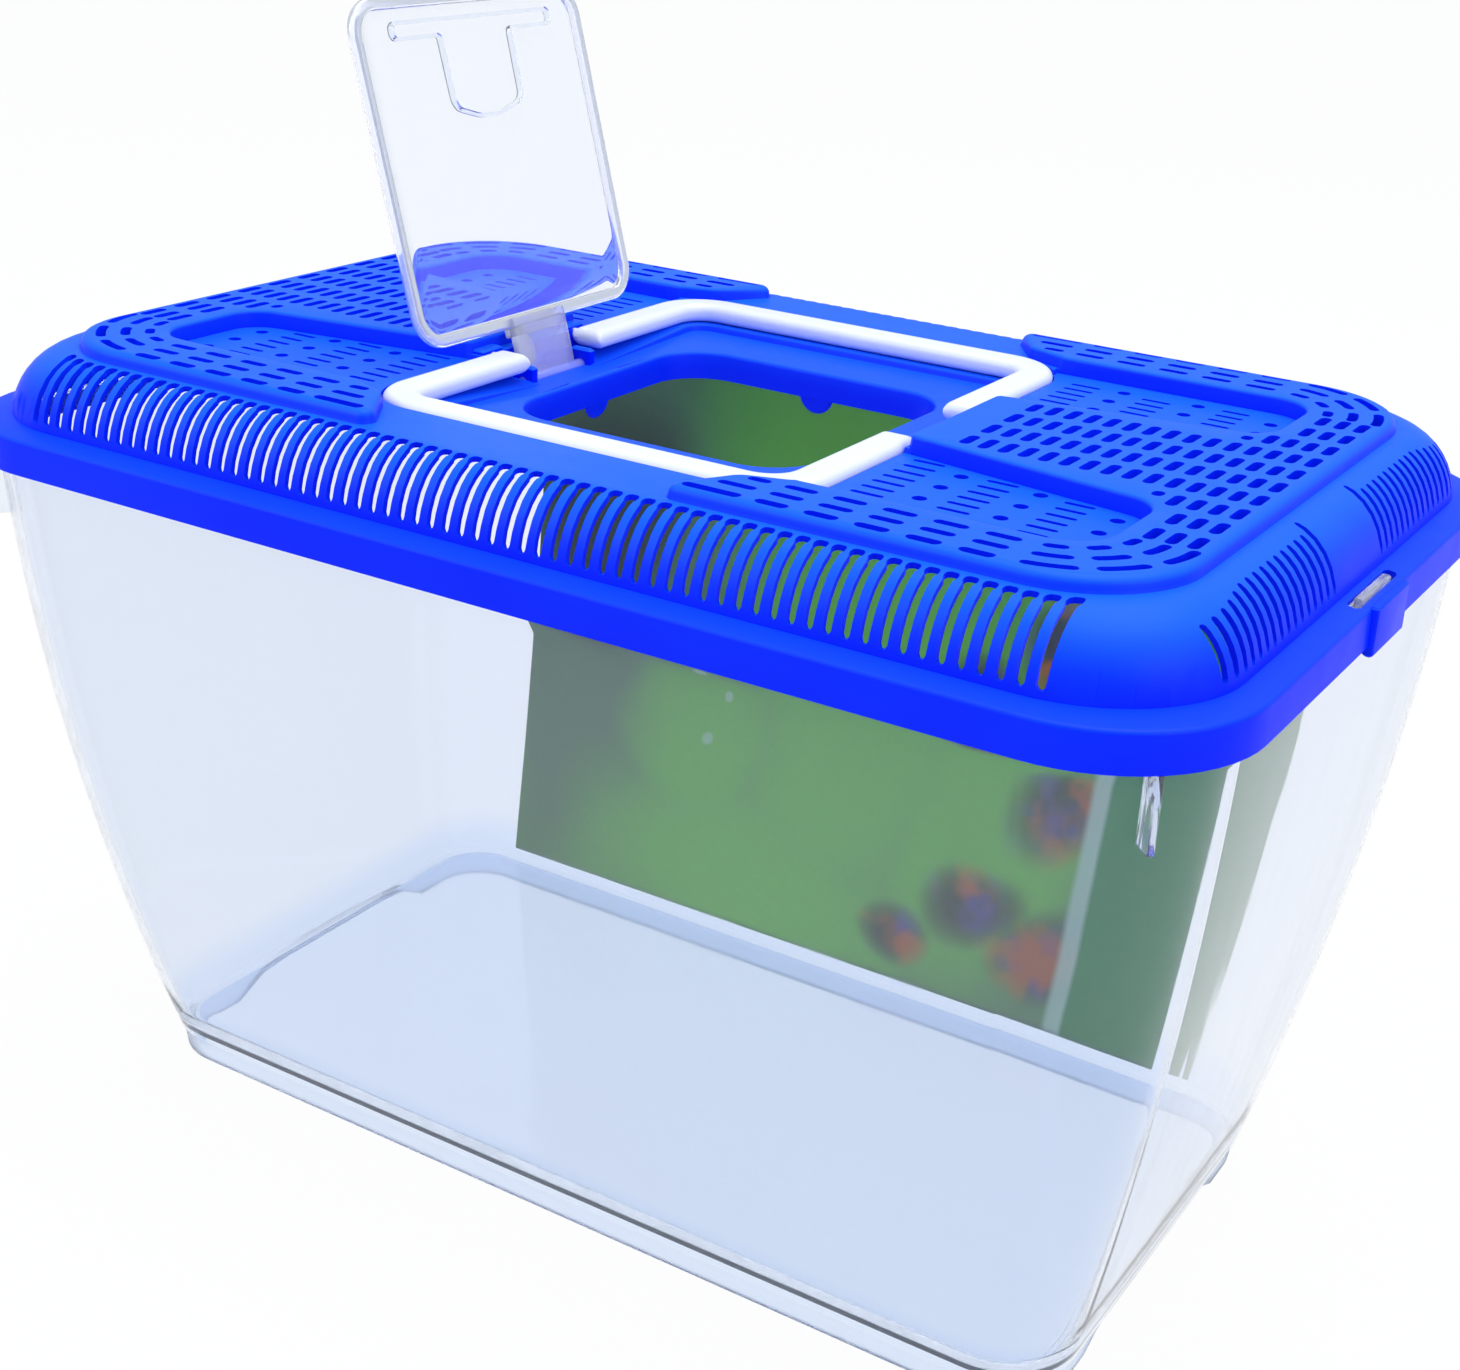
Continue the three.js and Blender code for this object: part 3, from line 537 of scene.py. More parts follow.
def filleted(points: Sequence[tuple[float, float, float]], step: float = 0.35) -> Array:
    """A closed outline of straight runs joined by tangent arcs.

    At a corner of angle t between its runs, an arc of radius r starts r / tan(t / 2) before it.

    Args:
        points: corners as x, y and radius, counter-clockwise.
        step: largest turn between two points of an arc, in radians.

    Returns:
        An array of points, shape (n, 2).
    """
    table = np.array(points, float)
    corners, radii = table[:, :2], table[:, 2]
    outline = []
    neighbours = np.roll(corners, 1, 0), np.roll(corners, -1, 0)
    for here, before, after, radius in zip(corners, *neighbours, radii):
        back = (before - here) / np.linalg.norm(before - here)
        ahead = (after - here) / np.linalg.norm(after - here)
        half = math.acos(float(np.clip(back @ ahead, -1, 1))) / 2
        if radius <= 0:
            outline.append(here[None])
            continue
        reach = radius / math.tan(half)
        middle = here + (back + ahead) / np.linalg.norm(back + ahead) * radius / math.sin(half)
        first, last = here + back * reach - middle, here + ahead * reach - middle
        start = math.atan2(first[1], first[0])
        turn = math.atan2(first[0] * last[1] - first[1] * last[0], float(first @ last))
        turns = start + turn * np.linspace(0, 1, max(3, math.ceil(abs(turn) / step) + 1))
        outline.append(middle + radius * directions(turns))
    return np.concatenate(outline)


def counter_clockwise(loop: Array) -> Array:
    """The outline turned so that its area, half the sum of x y' - x' y, is positive."""
    ahead = np.roll(loop, -1, 0)
    area = (loop[:, 0] * ahead[:, 1] - ahead[:, 0] * loop[:, 1]).sum()
    return loop if area > 0 else loop[::-1]


def moved_in(loop: Array, distance: float) -> Array:
    """A counter-clockwise outline moved towards its inside by a distance.

    Each point moves along the mean of its two edge normals, lengthened by 1 / cos of the half turn.
    """
    ahead = np.roll(loop, -1, 0) - loop
    ahead /= np.linalg.norm(ahead, axis=1)[:, None]
    normals = np.stack([-ahead[:, 1], ahead[:, 0]], 1)
    mean = normals + np.roll(normals, 1, 0)
    mean /= np.linalg.norm(mean, axis=1)[:, None]
    stretch = 1.0 / np.maximum(np.sum(mean * normals, 1), 0.5)
    return loop + mean * (distance * stretch)[:, None]


def depth_inside(points: Array, loop: Array) -> Array:
    """How far each point lies inside a closed outline, negative outside it.

    The distance is the least over the outline's edges; the sign comes from counting crossings of a ray.

    Args:
        points: places, shape (n, 2).
        loop: the outline, shape (m, 2).

    Returns:
        One signed distance for each point.
    """
    start, edge = loop, np.roll(loop, -1, 0) - loop
    offset = points[:, None, :] - start[None]
    share = np.clip((offset * edge).sum(2) / (edge * edge).sum(1), 0.0, 1.0)
    distance = np.sqrt(((offset - share[..., None] * edge) ** 2).sum(2).min(1))
    end_y = start[:, 1] + edge[:, 1]
    spans = (start[:, 1] > points[:, 1:2]) != (end_y > points[:, 1:2])
    safe = np.where(edge[:, 1] == 0, 1.0, edge[:, 1])
    crossing = offset[..., 0] < edge[:, 0] * offset[..., 1] / safe
    inside = (spans & crossing).sum(1) % 2 == 1
    return np.where(inside, distance, -distance)


def capsules(
    centres: Array, lengths: Array | float, width: float, angle: float = 0.0, steps: int = 4,
) -> Array:
    """Outlines of slots with round ends.

    A slot is a straight run of its length less its width, closed by a half circle at each end.

    Args:
        centres: middles of the slots, shape (n, 2).
        lengths: overall length of each slot, or of all of them.
        width: width of every slot.
        angle: direction of the long axes, in radians.
        steps: steps in a half circle.

    Returns:
        The outlines, shape (n, 2 * (steps + 1), 2).
    """
    half = directions(np.linspace(-math.pi / 2, math.pi / 2, steps + 1)) * width / 2
    shape = np.concatenate([half, -half])
    halves = (np.broadcast_to(lengths, len(centres)) - width) / 2
    run = halves[:, None] * np.repeat([1.0, -1.0], steps + 1)
    x, y = shape[:, 0] + run, np.broadcast_to(shape[:, 1], run.shape)
    c, s = math.cos(angle), math.sin(angle)
    return np.stack([x * c - y * s, x * s + y * c], 2) + np.asarray(centres)[:, None, :]


def bent_slots(centre: tuple[float, float], radius: float, spans: Array, width: float) -> Array:
    """Outlines of slots that follow a circle.

    The sides are arcs of radius + and - half the width; each end is a half circle.

    Args:
        centre: the circle's centre.
        radius: the circle's radius.
        spans: first and last angle of each slot's middle line, in radians, shape (n, 2).
        width: width of the slots.

    Returns:
        The outlines, shape (n, points, 2).
    """
    slots = []
    for first, last in spans:
        sweep = np.linspace(first, last, 5)
        around = np.linspace(0, math.pi, 5)[1:-1]
        outer = directions(sweep) * (radius + width / 2)
        inner = directions(sweep[::-1]) * (radius - width / 2)
        end = radius * directions(sweep[-1:]) + width / 2 * directions(last + around)
        head = radius * directions(sweep[:1]) + width / 2 * directions(first + math.pi + around)
        slots.append(np.concatenate([outer, end, inner, head]))
    return np.stack(slots) + np.array(centre)


@dataclass
class Surface:
    """Vertices in millimetres with triangles and quads, added to piece by piece."""

    points: list[Array] = field(default_factory=list)
    faces: list[Array] = field(default_factory=list)
    count: int = 0

    def add(self, points: Array, faces: Sequence[Array]) -> "Surface":
        """Adds a patch.

        Args:
            points: vertices, shape (n, 3).
            faces: arrays of vertex numbers within the patch, each of shape (k, 3) or (k, 4).

        Returns:
            This surface.
        """
        self.points.append(np.asarray(points, float))
        self.faces.extend(np.asarray(f, int) + self.count for f in faces)
        self.count += len(points)
        return self

    def tube(self, rings: Array, closed: bool = False) -> "Surface":
        """Adds a surface through closed rings, each joined to the next.

        Face (i, j) joins points j and j + 1 of rings i and i + 1; open ends get a fan to the middle.

        Args:
            rings: points, shape (rings, points, 3), turning so that faces look outwards.
            closed: whether the last ring joins the first.

        Returns:
            This surface.
        """
        number, size = rings.shape[:2]
        last = number if closed else number - 1
        i, j = np.meshgrid(np.arange(last), np.arange(size), indexing="ij")
        k, following = (i + 1) % number, (j + 1) % size
        quads = np.stack([i * size + j, i * size + following, k * size + following, k * size + j], -1)
        points = rings.reshape(-1, 3)
        faces = [quads.reshape(-1, 4)]
        if not closed:
            middles = np.stack([rings[0].mean(0), rings[-1].mean(0)])
            around = np.arange(size)
            ahead = (around + 1) % size
            first = np.full(size, len(points))
            faces.append(np.stack([first, ahead, around], 1))
            start = (number - 1) * size
            faces.append(np.stack([first + 1, start + around, start + ahead], 1))
            points = np.concatenate([points, middles])
        return self.add(points, faces)

    def block(self, one: Sequence[float], other: Sequence[float], edge: float = 0.4) -> "Surface":
        """Adds a block with bevelled edges along Z, top and bottom.

        Args:
            one: one of its corners.
            other: the opposite corner.
            edge: size of the bevel.

        Returns:
            This surface.
        """
        corners = np.array([one, other], float)
        low, high = corners.min(0), corners.max(0)
        middle, half = (low + high) / 2, (high - low) / 2
        levels = [(low[2], edge), (low[2] + edge, 0.0), (high[2] - edge, 0.0), (high[2], edge)]
        rings = []
        for z, inset in levels:
            ring = rounded_ring(half[0] - inset, half[1] - inset, edge * 0.9, 3, 1) + middle[:2]
            rings.append(np.column_stack([ring, np.full(len(ring), z)]))
        return self.tube(np.stack(rings))

    def bar(
        self, start: Sequence[float], end: Sequence[float], radius: float, sides: int = 24,
    ) -> "Surface":
        """Adds a round bar between two points, with its ends bevelled by a share of the radius."""
        share = 0.15
        start, end = np.array(start, float), np.array(end, float)
        along = (end - start) / np.linalg.norm(end - start)
        across = np.cross(along, [0.0, 0.0, 1.0] if abs(along[2]) < 0.9 else [1.0, 0.0, 0.0])
        across /= np.linalg.norm(across)
        third = np.cross(along, across)
        turns = np.linspace(0, 2 * math.pi, sides, endpoint=False)[:, None]
        circle = (np.cos(turns) * across + np.sin(turns) * third) * radius
        bevel = along * radius * share
        small = circle * (1 - share)
        rings = [start + small, start + bevel + circle, end - bevel + circle, end + small]
        return self.tube(np.stack(rings))

    def mapped(self, function: Callable[[Array], Array]) -> "Surface":
        """This surface with every vertex sent through a function of an (n, 3) array."""
        self.points = [function(p) for p in self.points]
        return self

    def build(
        self, name: str, material: bpy.types.Material, smooth_deg: float = 35.0,
    ) -> bpy.types.Object:
        """Puts the surface into an object at the origin.

        Args:
            name: name of the piece.
            material: its finish.
            smooth_deg: edges that turn more than this stay sharp.

        Returns:
            The object.
        """
        mesh = bpy.data.meshes.new(name)
        points = np.concatenate(self.points) * MM
        mesh.from_pydata(points.tolist(), [], [row for part in self.faces for row in part.tolist()])
        mesh.validate()
        mesh.polygons.foreach_set("use_smooth", np.ones(len(mesh.polygons), bool))
        mesh.set_sharp_from_angle(angle=math.radians(smooth_deg))
        self.sharpen_borders(mesh)
        mesh.materials.append(material)
        mesh.update()
        piece = bpy.data.objects.new(name, mesh)
        bpy.context.scene.collection.objects.link(piece)
        LOG.info("%s: %d vertices, %d faces", name, len(mesh.vertices), len(mesh.polygons))
        return piece

    @staticmethod
    def sharpen_borders(mesh: bpy.types.Mesh) -> None:
        """Marks the edges that only one face uses as sharp, so that a wall added there stays crisp."""
        used = np.empty(len(mesh.loops), int)
        mesh.loops.foreach_get("edge_index", used)
        border = np.bincount(used, minlength=len(mesh.edges)) == 1
        if border.any():
            sharp = np.empty(len(mesh.edges), bool)
            mesh.edges.foreach_get("use_edge_sharp", sharp)
            mesh.edges.foreach_set("use_edge_sharp", sharp | border)


def swept(path: Array, section: Array, scales: Array, closed: bool = False) -> Array:
    """The rings of a section carried along a level path.

    Ring i is path[i] + side x sx + up y sy, where side is square to the path's direction and to up.

    Args:
        path: middle line, shape (n, 3).
        section: the section's points, shape (m, 2), counter-clockwise seen along the path.
        scales: two factors for each ring, shape (n, 2).
        closed: whether the path is a loop.

    Returns:
        The rings, shape (n, m, 3).
    """
    if closed:
        ahead = np.roll(path, -1, 0) - np.roll(path, 1, 0)
    else:
        ahead = np.gradient(path, axis=0)
    ahead = ahead / np.linalg.norm(ahead, axis=1)[:, None]
    side = np.cross(ahead, UP)
    side /= np.linalg.norm(side, axis=1)[:, None]
    x = section[None, :, 0, None] * scales[:, None, 0, None] * side[:, None, :]
    y = section[None, :, 1, None] * scales[:, None, 1, None] * UP
    return path[:, None, :] + x + y


# Lid


@dataclass
class LidForm:
    """The lid's outer face as a height over its plan, in millimetres.

    Corners of the outlines are given as x, y and radius: the panel's for its back half, which is
    mirrored, and the tray's for the right front one.
    """

    half_x: float = 162.4
    half_y: float = 105.4
    corner: float = 34.0
    corner_top: float = 26.0
    full_inset: float = 19.9
    skirt_z: float = 174.0
    ledge_z: float = 182.4
    ledge_width: float = 6.6
    ledge_middle: float = 4.0
    ledge_rise: float = 0.9
    shoulder_z: float = 198.6
    shoulder_lean: float = 1.2
    shoulder_width: float = 12.6
    shoulder_steps: int = 10
    panel_z: float = 201.7
    panel_start_x: float = 35.8
    panel_start_radius: float = 3.0
    panel_inner: Table = (
        (47.0, 69.4, 6.0), (57.8, 65.6, 4.5), (62.3, 57.0, 5.0), (63.2, 24.5, 1.5), (60.3, 21.0, 1.0),
    )
    panel_turn: float = 0.13
    wall_run: float = 0.3
    edge_round: float = 0.9
    edge_shares: tuple[float, ...] = (0.0, 0.13, 0.5, 1.0)
    soft_round: float = 2.3
    soft_insets: tuple[float, float] = (34.0, 25.0)
    tray_depth: float = 4.2
    tray_corners: Table = (
        (55.5, -20.2, 0.4), (55.5, -66.5, 0.4), (123.8, -66.5, 11.0), (123.8, -30.8, 9.5),
    )
    tray_turn: float = 0.16
    well_z: float = 194.7
    well_margin: float = 1.3
    well_corner: float = 16.3
    pit_z: float = 191.6
    pit_left_x: float = -57.0
    pit_half: float = 10.9
    pit_margin: float = 1.2
    pit_corner: float = 0.8
    shelf_z: float = 193.0
    shelf_gap: float = 0.2
    shelf_corner: float = 6.2
    collar_z: float = 186.1
    collar_run: float = 0.6
    grip_middle: float = 1.45
    grip_half: float = 57.75
    grip_reach: float = 68.6
    grip_bar: float = 9.0
    opening_x: tuple[float, float] = (-37.5, 41.5)
    opening_y: float = 40.0
    opening_corner: float = 14.0

    def corner_radius(self, inset: Array) -> Array:
        """Corner radius of the ring at an inset."""
        return self.corner + (self.corner_top - self.corner) * np.asarray(inset) / self.full_inset

    def ring(self, inset: float) -> Array:
        """The ring of the lid's plan at an inset from the skirt."""
        radius = float(self.corner_radius(inset))
        return rounded_ring(self.half_x - inset, self.half_y - inset, radius, 14, 1)

    def inset(self, points: Array) -> Array:
        """The inset of the ring through each point.

        On a side it is the distance to the skirt. In a corner it solves
        (dx + k i)^2 + (dy + k i)^2 = (R - m i)^2, since ring i has its centre k i further in.
        """
        x, y = np.abs(points[:, 0]), np.abs(points[:, 1])
        shrink = (self.corner - self.corner_top) / self.full_inset
        k = 1.0 - shrink
        dx, dy = x - (self.half_x - self.corner), y - (self.half_y - self.corner)
        plain = np.minimum(self.half_x - x, self.half_y - y)
        a = 2 * k * k - shrink * shrink
        b = k * (dx + dy) + shrink * self.corner
        c = dx * dx + dy * dy - self.corner ** 2
        root = (-b + np.sqrt(np.maximum(b * b - a * c, 0.0))) / a
        in_corner = (dx + k * root > 0) & (dy + k * root > 0)
        return np.where(in_corner, root, plain)

    def across(self, inset: Array, along: Array, ends: bool) -> Array:
        """The distance from the middle of a side's ring, where the other coordinate is given.

        Args:
            inset: insets of the rings.
            along: the coordinate along the side.
            ends: True for the sides at the ends of the lid.

        Returns:
            The coordinate square to the side.
        """
        near, far = (self.half_x, self.half_y) if ends else (self.half_y, self.half_x)
        radius = self.corner_radius(inset)
        over = np.maximum(np.abs(along) - (far - inset - radius), 0.0)
        return near - inset - radius + np.sqrt(np.maximum(radius ** 2 - over ** 2, 0.0))

    def shoulder_table(self) -> tuple[Array, Array]:
        """Insets and heights of the lid's section, from the skirt's foot up to the shoulder's top."""
        turn = np.linspace(0.0, math.pi / 2, 40)
        base = self.ledge_z + self.ledge_rise
        shares = np.array(self.edge_shares)
        edge_i = self.wall_run + shares * self.edge_round
        edge_z = self.ledge_z - shares[::-1] * self.edge_round
        arc_z = base + (self.shoulder_z - base) * np.sin(turn)
        insets = np.concatenate([[0.0], edge_i, self.shoulder_arc(turn)])
        return insets, np.concatenate([[self.skirt_z], edge_z, arc_z])

    def shoulder_arc(self, turn: Array) -> Array:
        """Insets along the shoulder's quarter ellipse, which leans in by a little at its foot."""
        reach = self.shoulder_width - self.shoulder_lean
        return self.ledge_width + self.shoulder_lean * np.sin(turn) + reach * (1 - np.cos(turn))

    def ring_insets(self) -> tuple[Array, Array]:
        """Insets of the rings below the slits, and of those that the slits cross."""
        edge = self.wall_run + np.array(self.edge_shares) * self.edge_round
        low = np.concatenate([[0.0], edge, [self.ledge_middle, self.ledge_width]])
        steps = np.arange(1, self.shoulder_steps + 1) / self.shoulder_steps
        return low, self.shoulder_arc(np.radians(90.0 * steps))

    def step(self, depth: Array, height: float, edge: object = None) -> Array:
        """The height of a wall with a rounded top edge, where depth runs inwards from its foot.

        Past the wall's run w the height is h - r + r sqrt(1 - (1 - t)^2), with t = (depth - w) / r.

        Args:
            depth: distances inside the wall's foot.
            height: height of the wall.
            edge: radius of its top edge, one number or one for each depth; None for the plain radius.

        Returns:
            Heights over the foot.
        """
        r = np.minimum(self.edge_round if edge is None else edge, abs(height) * 0.9)
        wall = np.clip(depth / self.wall_run, 0.0, 1.0) * (height - r)
        t = np.clip((depth - self.wall_run) / r, 0.0, 1.0)
        return wall + r * np.sqrt(1 - (1 - t) ** 2)

    def step_depths(self) -> Array:
        """The depths at which a wall's section bends."""
        return np.concatenate([[0.0], self.wall_run + np.array(self.edge_shares) * self.edge_round])

    def panel_edge(self, inset: Array) -> Array:
        """The radius of a panel's upper edge: soft along the lid's shoulder, crisper by the grips."""
        crisp, soft = self.soft_insets
        share = np.clip((crisp - inset) / (crisp - soft), 0.0, 1.0)
        return self.edge_round + (self.soft_round - self.edge_round) * share

    def panel(self) -> Array:
        """The foot of the right raised panel, round the grips' corners."""
        x, y = self.half_x - self.full_inset, self.half_y - self.full_inset
        start = (self.panel_start_x, y, self.panel_start_radius)
        half = [(x, y, self.corner_top), start, *self.panel_inner]
        mirrored = [(px, -py, radius) for px, py, radius in reversed(half)]
        return filleted(half + mirrored, self.panel_turn)

    def tray(self) -> Array:
        """The upper edge of the right front tray."""
        return filleted(self.tray_corners, self.tray_turn)

    def well(self) -> Array:
        """The upper edge of the well that takes the grips."""
        half, reach = self.grip_half + self.well_margin, self.grip_reach + self.well_margin
        return rounded_ring(half, reach, self.well_corner, 14, 1) + (self.grip_middle, 0.0)

    def shelf(self) -> Array:
        """The upper edge of the shelf that lies between the grips and the opening."""
        inner = self.grip_bar + self.shelf_gap
        half, reach = self.grip_half - inner, self.grip_reach - inner
        return rounded_ring(half, reach, self.shelf_corner, 10, 1) + (self.grip_middle, 0.0)

    def pit(self) -> Array:
        """The edge of the pit under the hatch's hinge."""
        left, right = self.pit_left_x, self.opening_x[0] - self.pit_margin
        places = ((right, 1), (left, 1), (left, -1), (right, -1))
        return filleted([(x, side * self.pit_half, self.pit_corner) for x, side in places], 0.3)

    def opening(self) -> Array:
        """The edge of the feeding opening."""
        left, right = self.opening_x
        ring = rounded_ring((right - left) / 2, self.opening_y, self.opening_corner, 12, 1)
        return ring + ((left + right) / 2, 0.0)

    def height(self, points: Array) -> Array:
        """The height of the outer face over each point of the plan.

        The section's height at the point's inset is raised by the panels' step and held below the
        trays' and the well's recesses; the shelf, the pit and the collar lie lower. Each step is a
        function of the depth inside its outline.

        Args:
            points: places, shape (n, 2).

        Returns:
            Heights, shape (n,).
        """
        inset = self.inset(points)
        z = np.interp(inset, *self.shoulder_table())
        mirrored = np.column_stack([np.abs(points[:, 0]), -np.abs(points[:, 1])])
        rise = self.panel_z - self.shoulder_z
        z = z + self.step(depth_inside(mirrored, self.panel()), rise, self.panel_edge(inset))
        top = self.step_depths()[-1]
        tray = self.recess(depth_inside(mirrored, self.tray()), self.tray_depth, top)
        z = np.minimum(z, self.panel_z - tray)
        well = self.recess(depth_inside(points, self.well()), self.panel_z - self.well_z, top)
        z = np.minimum(z, self.panel_z - well)
        z = z - self.recess(depth_inside(points, self.shelf()), self.well_z - self.shelf_z, top)
        in_pit = depth_inside(points, self.pit()) > 0.0
        z = np.where(in_pit, np.minimum(z, self.pit_z), z)
        collar = self.shelf_z - self.collar_z
        return z - self.recess(depth_inside(points, self.opening()), collar, self.collar_run)

    def recess(self, depth: Array, fall: float, reach: float) -> Array:
        """How far a recess lies below its edge, at a depth inside that edge."""
        return fall - self.step(reach - depth, fall)


@dataclass
class SlotRows:
    """Rows of long slots along a panel's front, which turn round its corner."""

    rows: tuple[float, ...] = (71.1, 76.8, 82.5)
    row_starts: tuple[float, ...] = (50.0, 46.4, 41.6)
    first_end: float = 55.4
    first_middle: float = 62.4
    pitch: float = 11.1
    number: int = 5
    length: float = 7.6
    width: float = 2.4
    turn_centre: tuple[float, float] = (112.2, -55.0)
    turn_radii: tuple[float, ...] = (15.7, 21.4, 27.1)
    turn_offset: float = 0.05
    turn_gap: float = 2.7

    def loops(self) -> list[Array]:
        """The slots of all rows, with three bent slots of 30 degrees less a gap in each turn."""
        found: list[Array] = []
        x = self.first_middle + self.pitch * np.arange(self.number)
        for y, start, radius in zip(self.rows, self.row_starts, self.turn_radii):
            centres = np.column_stack([x, np.full(self.number, -y)])
            found.extend(capsules(centres, self.length, self.width))
            first = np.array([[(start + self.first_end) / 2, -y]])
            found.extend(capsules(first, self.first_end - start, self.width))
            gap = self.turn_gap / radius
            bounds = np.radians([-90.0, -60.0, -30.0, 0.0]) + self.turn_offset
            spans = np.column_stack([bounds[:-1] + gap, bounds[1:] - gap])
            found.extend(bent_slots(self.turn_centre, radius, spans, self.width))
        return found


@dataclass
class SlotColumns:
    """The columns of slots at a panel's end and over its middle strip, on one grid along Y."""

    cell: float = 11.3
    length: float = 8.2
    end_length: float = 8.0
    width: float = 2.6
    end_x: float = 137.8
    end_pitch: float = 4.5
    end_rows: tuple[int, ...] = (5, 5, 5, 3)
    strip_x: float = 119.7
    strip_pitch: float = 4.72
    strip_number: int = 11
    outer_starts: tuple[float, ...] = (12.85, 24.15)
    least: float = 3.0
    edge_start: tuple[float, float] = (61.0, 20.9)
    edge_slope: float = 0.16
    edge_margin: float = 2.4

    def upright(self, x: Array | float, y: Array | float, lengths: Array | float) -> Array:
        """Slots that run along Y, with their middles at x and -y."""
        centres = np.column_stack(np.broadcast_arrays(x, np.negative(y)))
        return capsules(centres, lengths, self.width, math.pi / 2)

    def loops(self) -> list[Array]:
        """The end's columns, the strip's inner row, and outer rows cut short by the strip's edge."""
        found: list[Array] = []
        for column, rows in enumerate(self.end_rows):
            y = (np.arange(rows) + 0.5) * self.cell
            found.extend(self.upright(self.end_x - column * self.end_pitch, y, self.end_length))
        x = self.strip_x - self.strip_pitch * np.arange(self.strip_number)
        found.extend(self.upright(x, self.cell / 2, self.length))
        edge = self.edge_start[1] + (x - self.edge_start[0]) * self.edge_slope
        for first in self.outer_starts:
            length = np.minimum(edge - self.edge_margin - first, self.length)
            kept = length > self.least
            found.extend(self.upright(x[kept], first + length[kept] / 2, length[kept]))
        return found


@dataclass
class TrayCuts:
    """The thin lines and the dots in the floor of the right front tray."""

    line_spans: Table = ((63.7, 71.6), (82.8, 90.4), (101.9, 109.0))
    line_firsts: tuple[float, ...] = (25.4, 28.5, 31.6)
    line_numbers: tuple[int, ...] = (8, 7, 7)
    line_pitch: float = 4.62
    line_width: float = 1.45
    dot_places: Table = ((77.5, 29.8), (96.2, 30.6), (115.6, 36.0))
    dot_numbers: tuple[int, ...] = (4, 4, 3)
    dot_pitch: float = 9.5
    dot_length: float = 3.3
    dot_width: float = 3.2

    @staticmethod
    def row(x: float, first: float, pitch: float, number: int) -> Array:
        """Middles of a row of cuts towards the front."""
        return np.column_stack([np.full(number, x), -(first + pitch * np.arange(number))])

    def loops(self) -> list[Array]:
        """The lines' and the dots' outlines."""
        found: list[Array] = []
        for (low, high), first, number in zip(self.line_spans, self.line_firsts, self.line_numbers):
            centres = self.row((low + high) / 2, first, self.line_pitch, number)
            found.extend(capsules(centres, high - low, self.line_width, steps=3))
        for (x, first), number in zip(self.dot_places, self.dot_numbers):
            centres = self.row(x, first, self.dot_pitch, number)
            found.extend(capsules(centres, self.dot_length, self.dot_width, steps=7))
        return found


@dataclass
class Perforations:
    """The holes of the lid's plan: slits on the shoulder, slots and cuts on the panels, windows.

    A slit's outline is its half width at some insets; the end slits' insets are shares of their length.
    """

    form: LidForm
    slit_pitch: float = 3.957
    front_slits: int = 33
    front_insets: tuple[float, ...] = (
        6.78, 6.95, 7.6, 9.0, 11.0, 13.0, 14.8, 15.7, 16.2, 17.0, 17.8, 18.3,
    )
    front_halves: tuple[float, ...] = (
        0.5, 0.92, 0.98, 1.0, 1.0, 1.0, 1.0, 1.05, 1.36, 1.5, 1.32, 0.7,
    )
    end_slits: int = 16
    end_first: float = 15.9
    end_foot: float = 6.85
    end_heads: tuple[float, float] = (17.2, 14.6)
    end_plain: int = 10
    end_fall: float = 0.55
    end_shares: tuple[float, ...] = (0.0, 0.035, 0.16, 0.33, 0.55, 0.78, 0.94, 1.0)
    end_halves: tuple[float, ...] = (0.5, 0.86, 0.96, 1.0, 1.0, 0.96, 0.8, 0.4)
    window_inset: float = 2.2
    window_width: float = 2.8
    window_length: float = 28.0

    def slit(self, insets: Array, halves: Array, along: float, ends: bool) -> Array:
        """One slit's outline, where its half width is given at some insets.

        Args:
            insets: insets from the slit's foot to its head.
            halves: half widths there.
            along: the slit's place along the side.
            ends: True at the ends of the lid.

        Returns:
            The outline, shape (n, 2).
        """
        i = np.concatenate([insets, insets[::-1]])
        place = along + np.concatenate([np.negative(halves), halves[::-1]])
        square = self.form.across(i, place, ends)
        return np.column_stack([square, place] if ends else [place, square])

    def slits(self) -> list[Array]:
        """The slits of all four sides."""
        found = [
            self.slit(self.front_insets, self.front_halves, (k + 0.5) * self.slit_pitch, False)
            for k in range(self.front_slits)
        ]
        shares = np.array(self.end_shares)
        for k in range(self.end_slits):
            head = self.end_heads[0] if k == 0 else self.end_heads[1]
            head -= self.end_fall * max(k - self.end_plain, 0)
            insets = self.end_foot + (head - self.end_foot) * shares
            found.append(self.slit(insets, self.end_halves, self.end_first + k * self.slit_pitch, True))
        return [loop * (sx, sy) for loop in found for sx in (1, -1) for sy in (1, -1)]

    def windows(self) -> list[Array]:
        """The slots in the ledge over the tank's lugs."""
        x = self.form.half_x - self.window_inset - self.window_width / 2
        centres = np.array([[x, 0.0], [-x, 0.0]])
        return list(capsules(centres, self.window_length, self.window_width, math.pi / 2, 3))

    def holes(self) -> list[Array]:
        """All holes of the plan except the feeding opening."""
        quarter = SlotRows().loops() + SlotColumns().loops() + TrayCuts().loops()
        mirrored = [loop * (sx, sy) for loop in quarter for sx in (1, -1) for sy in (1, -1)]
        return self.slits() + mirrored + self.windows()


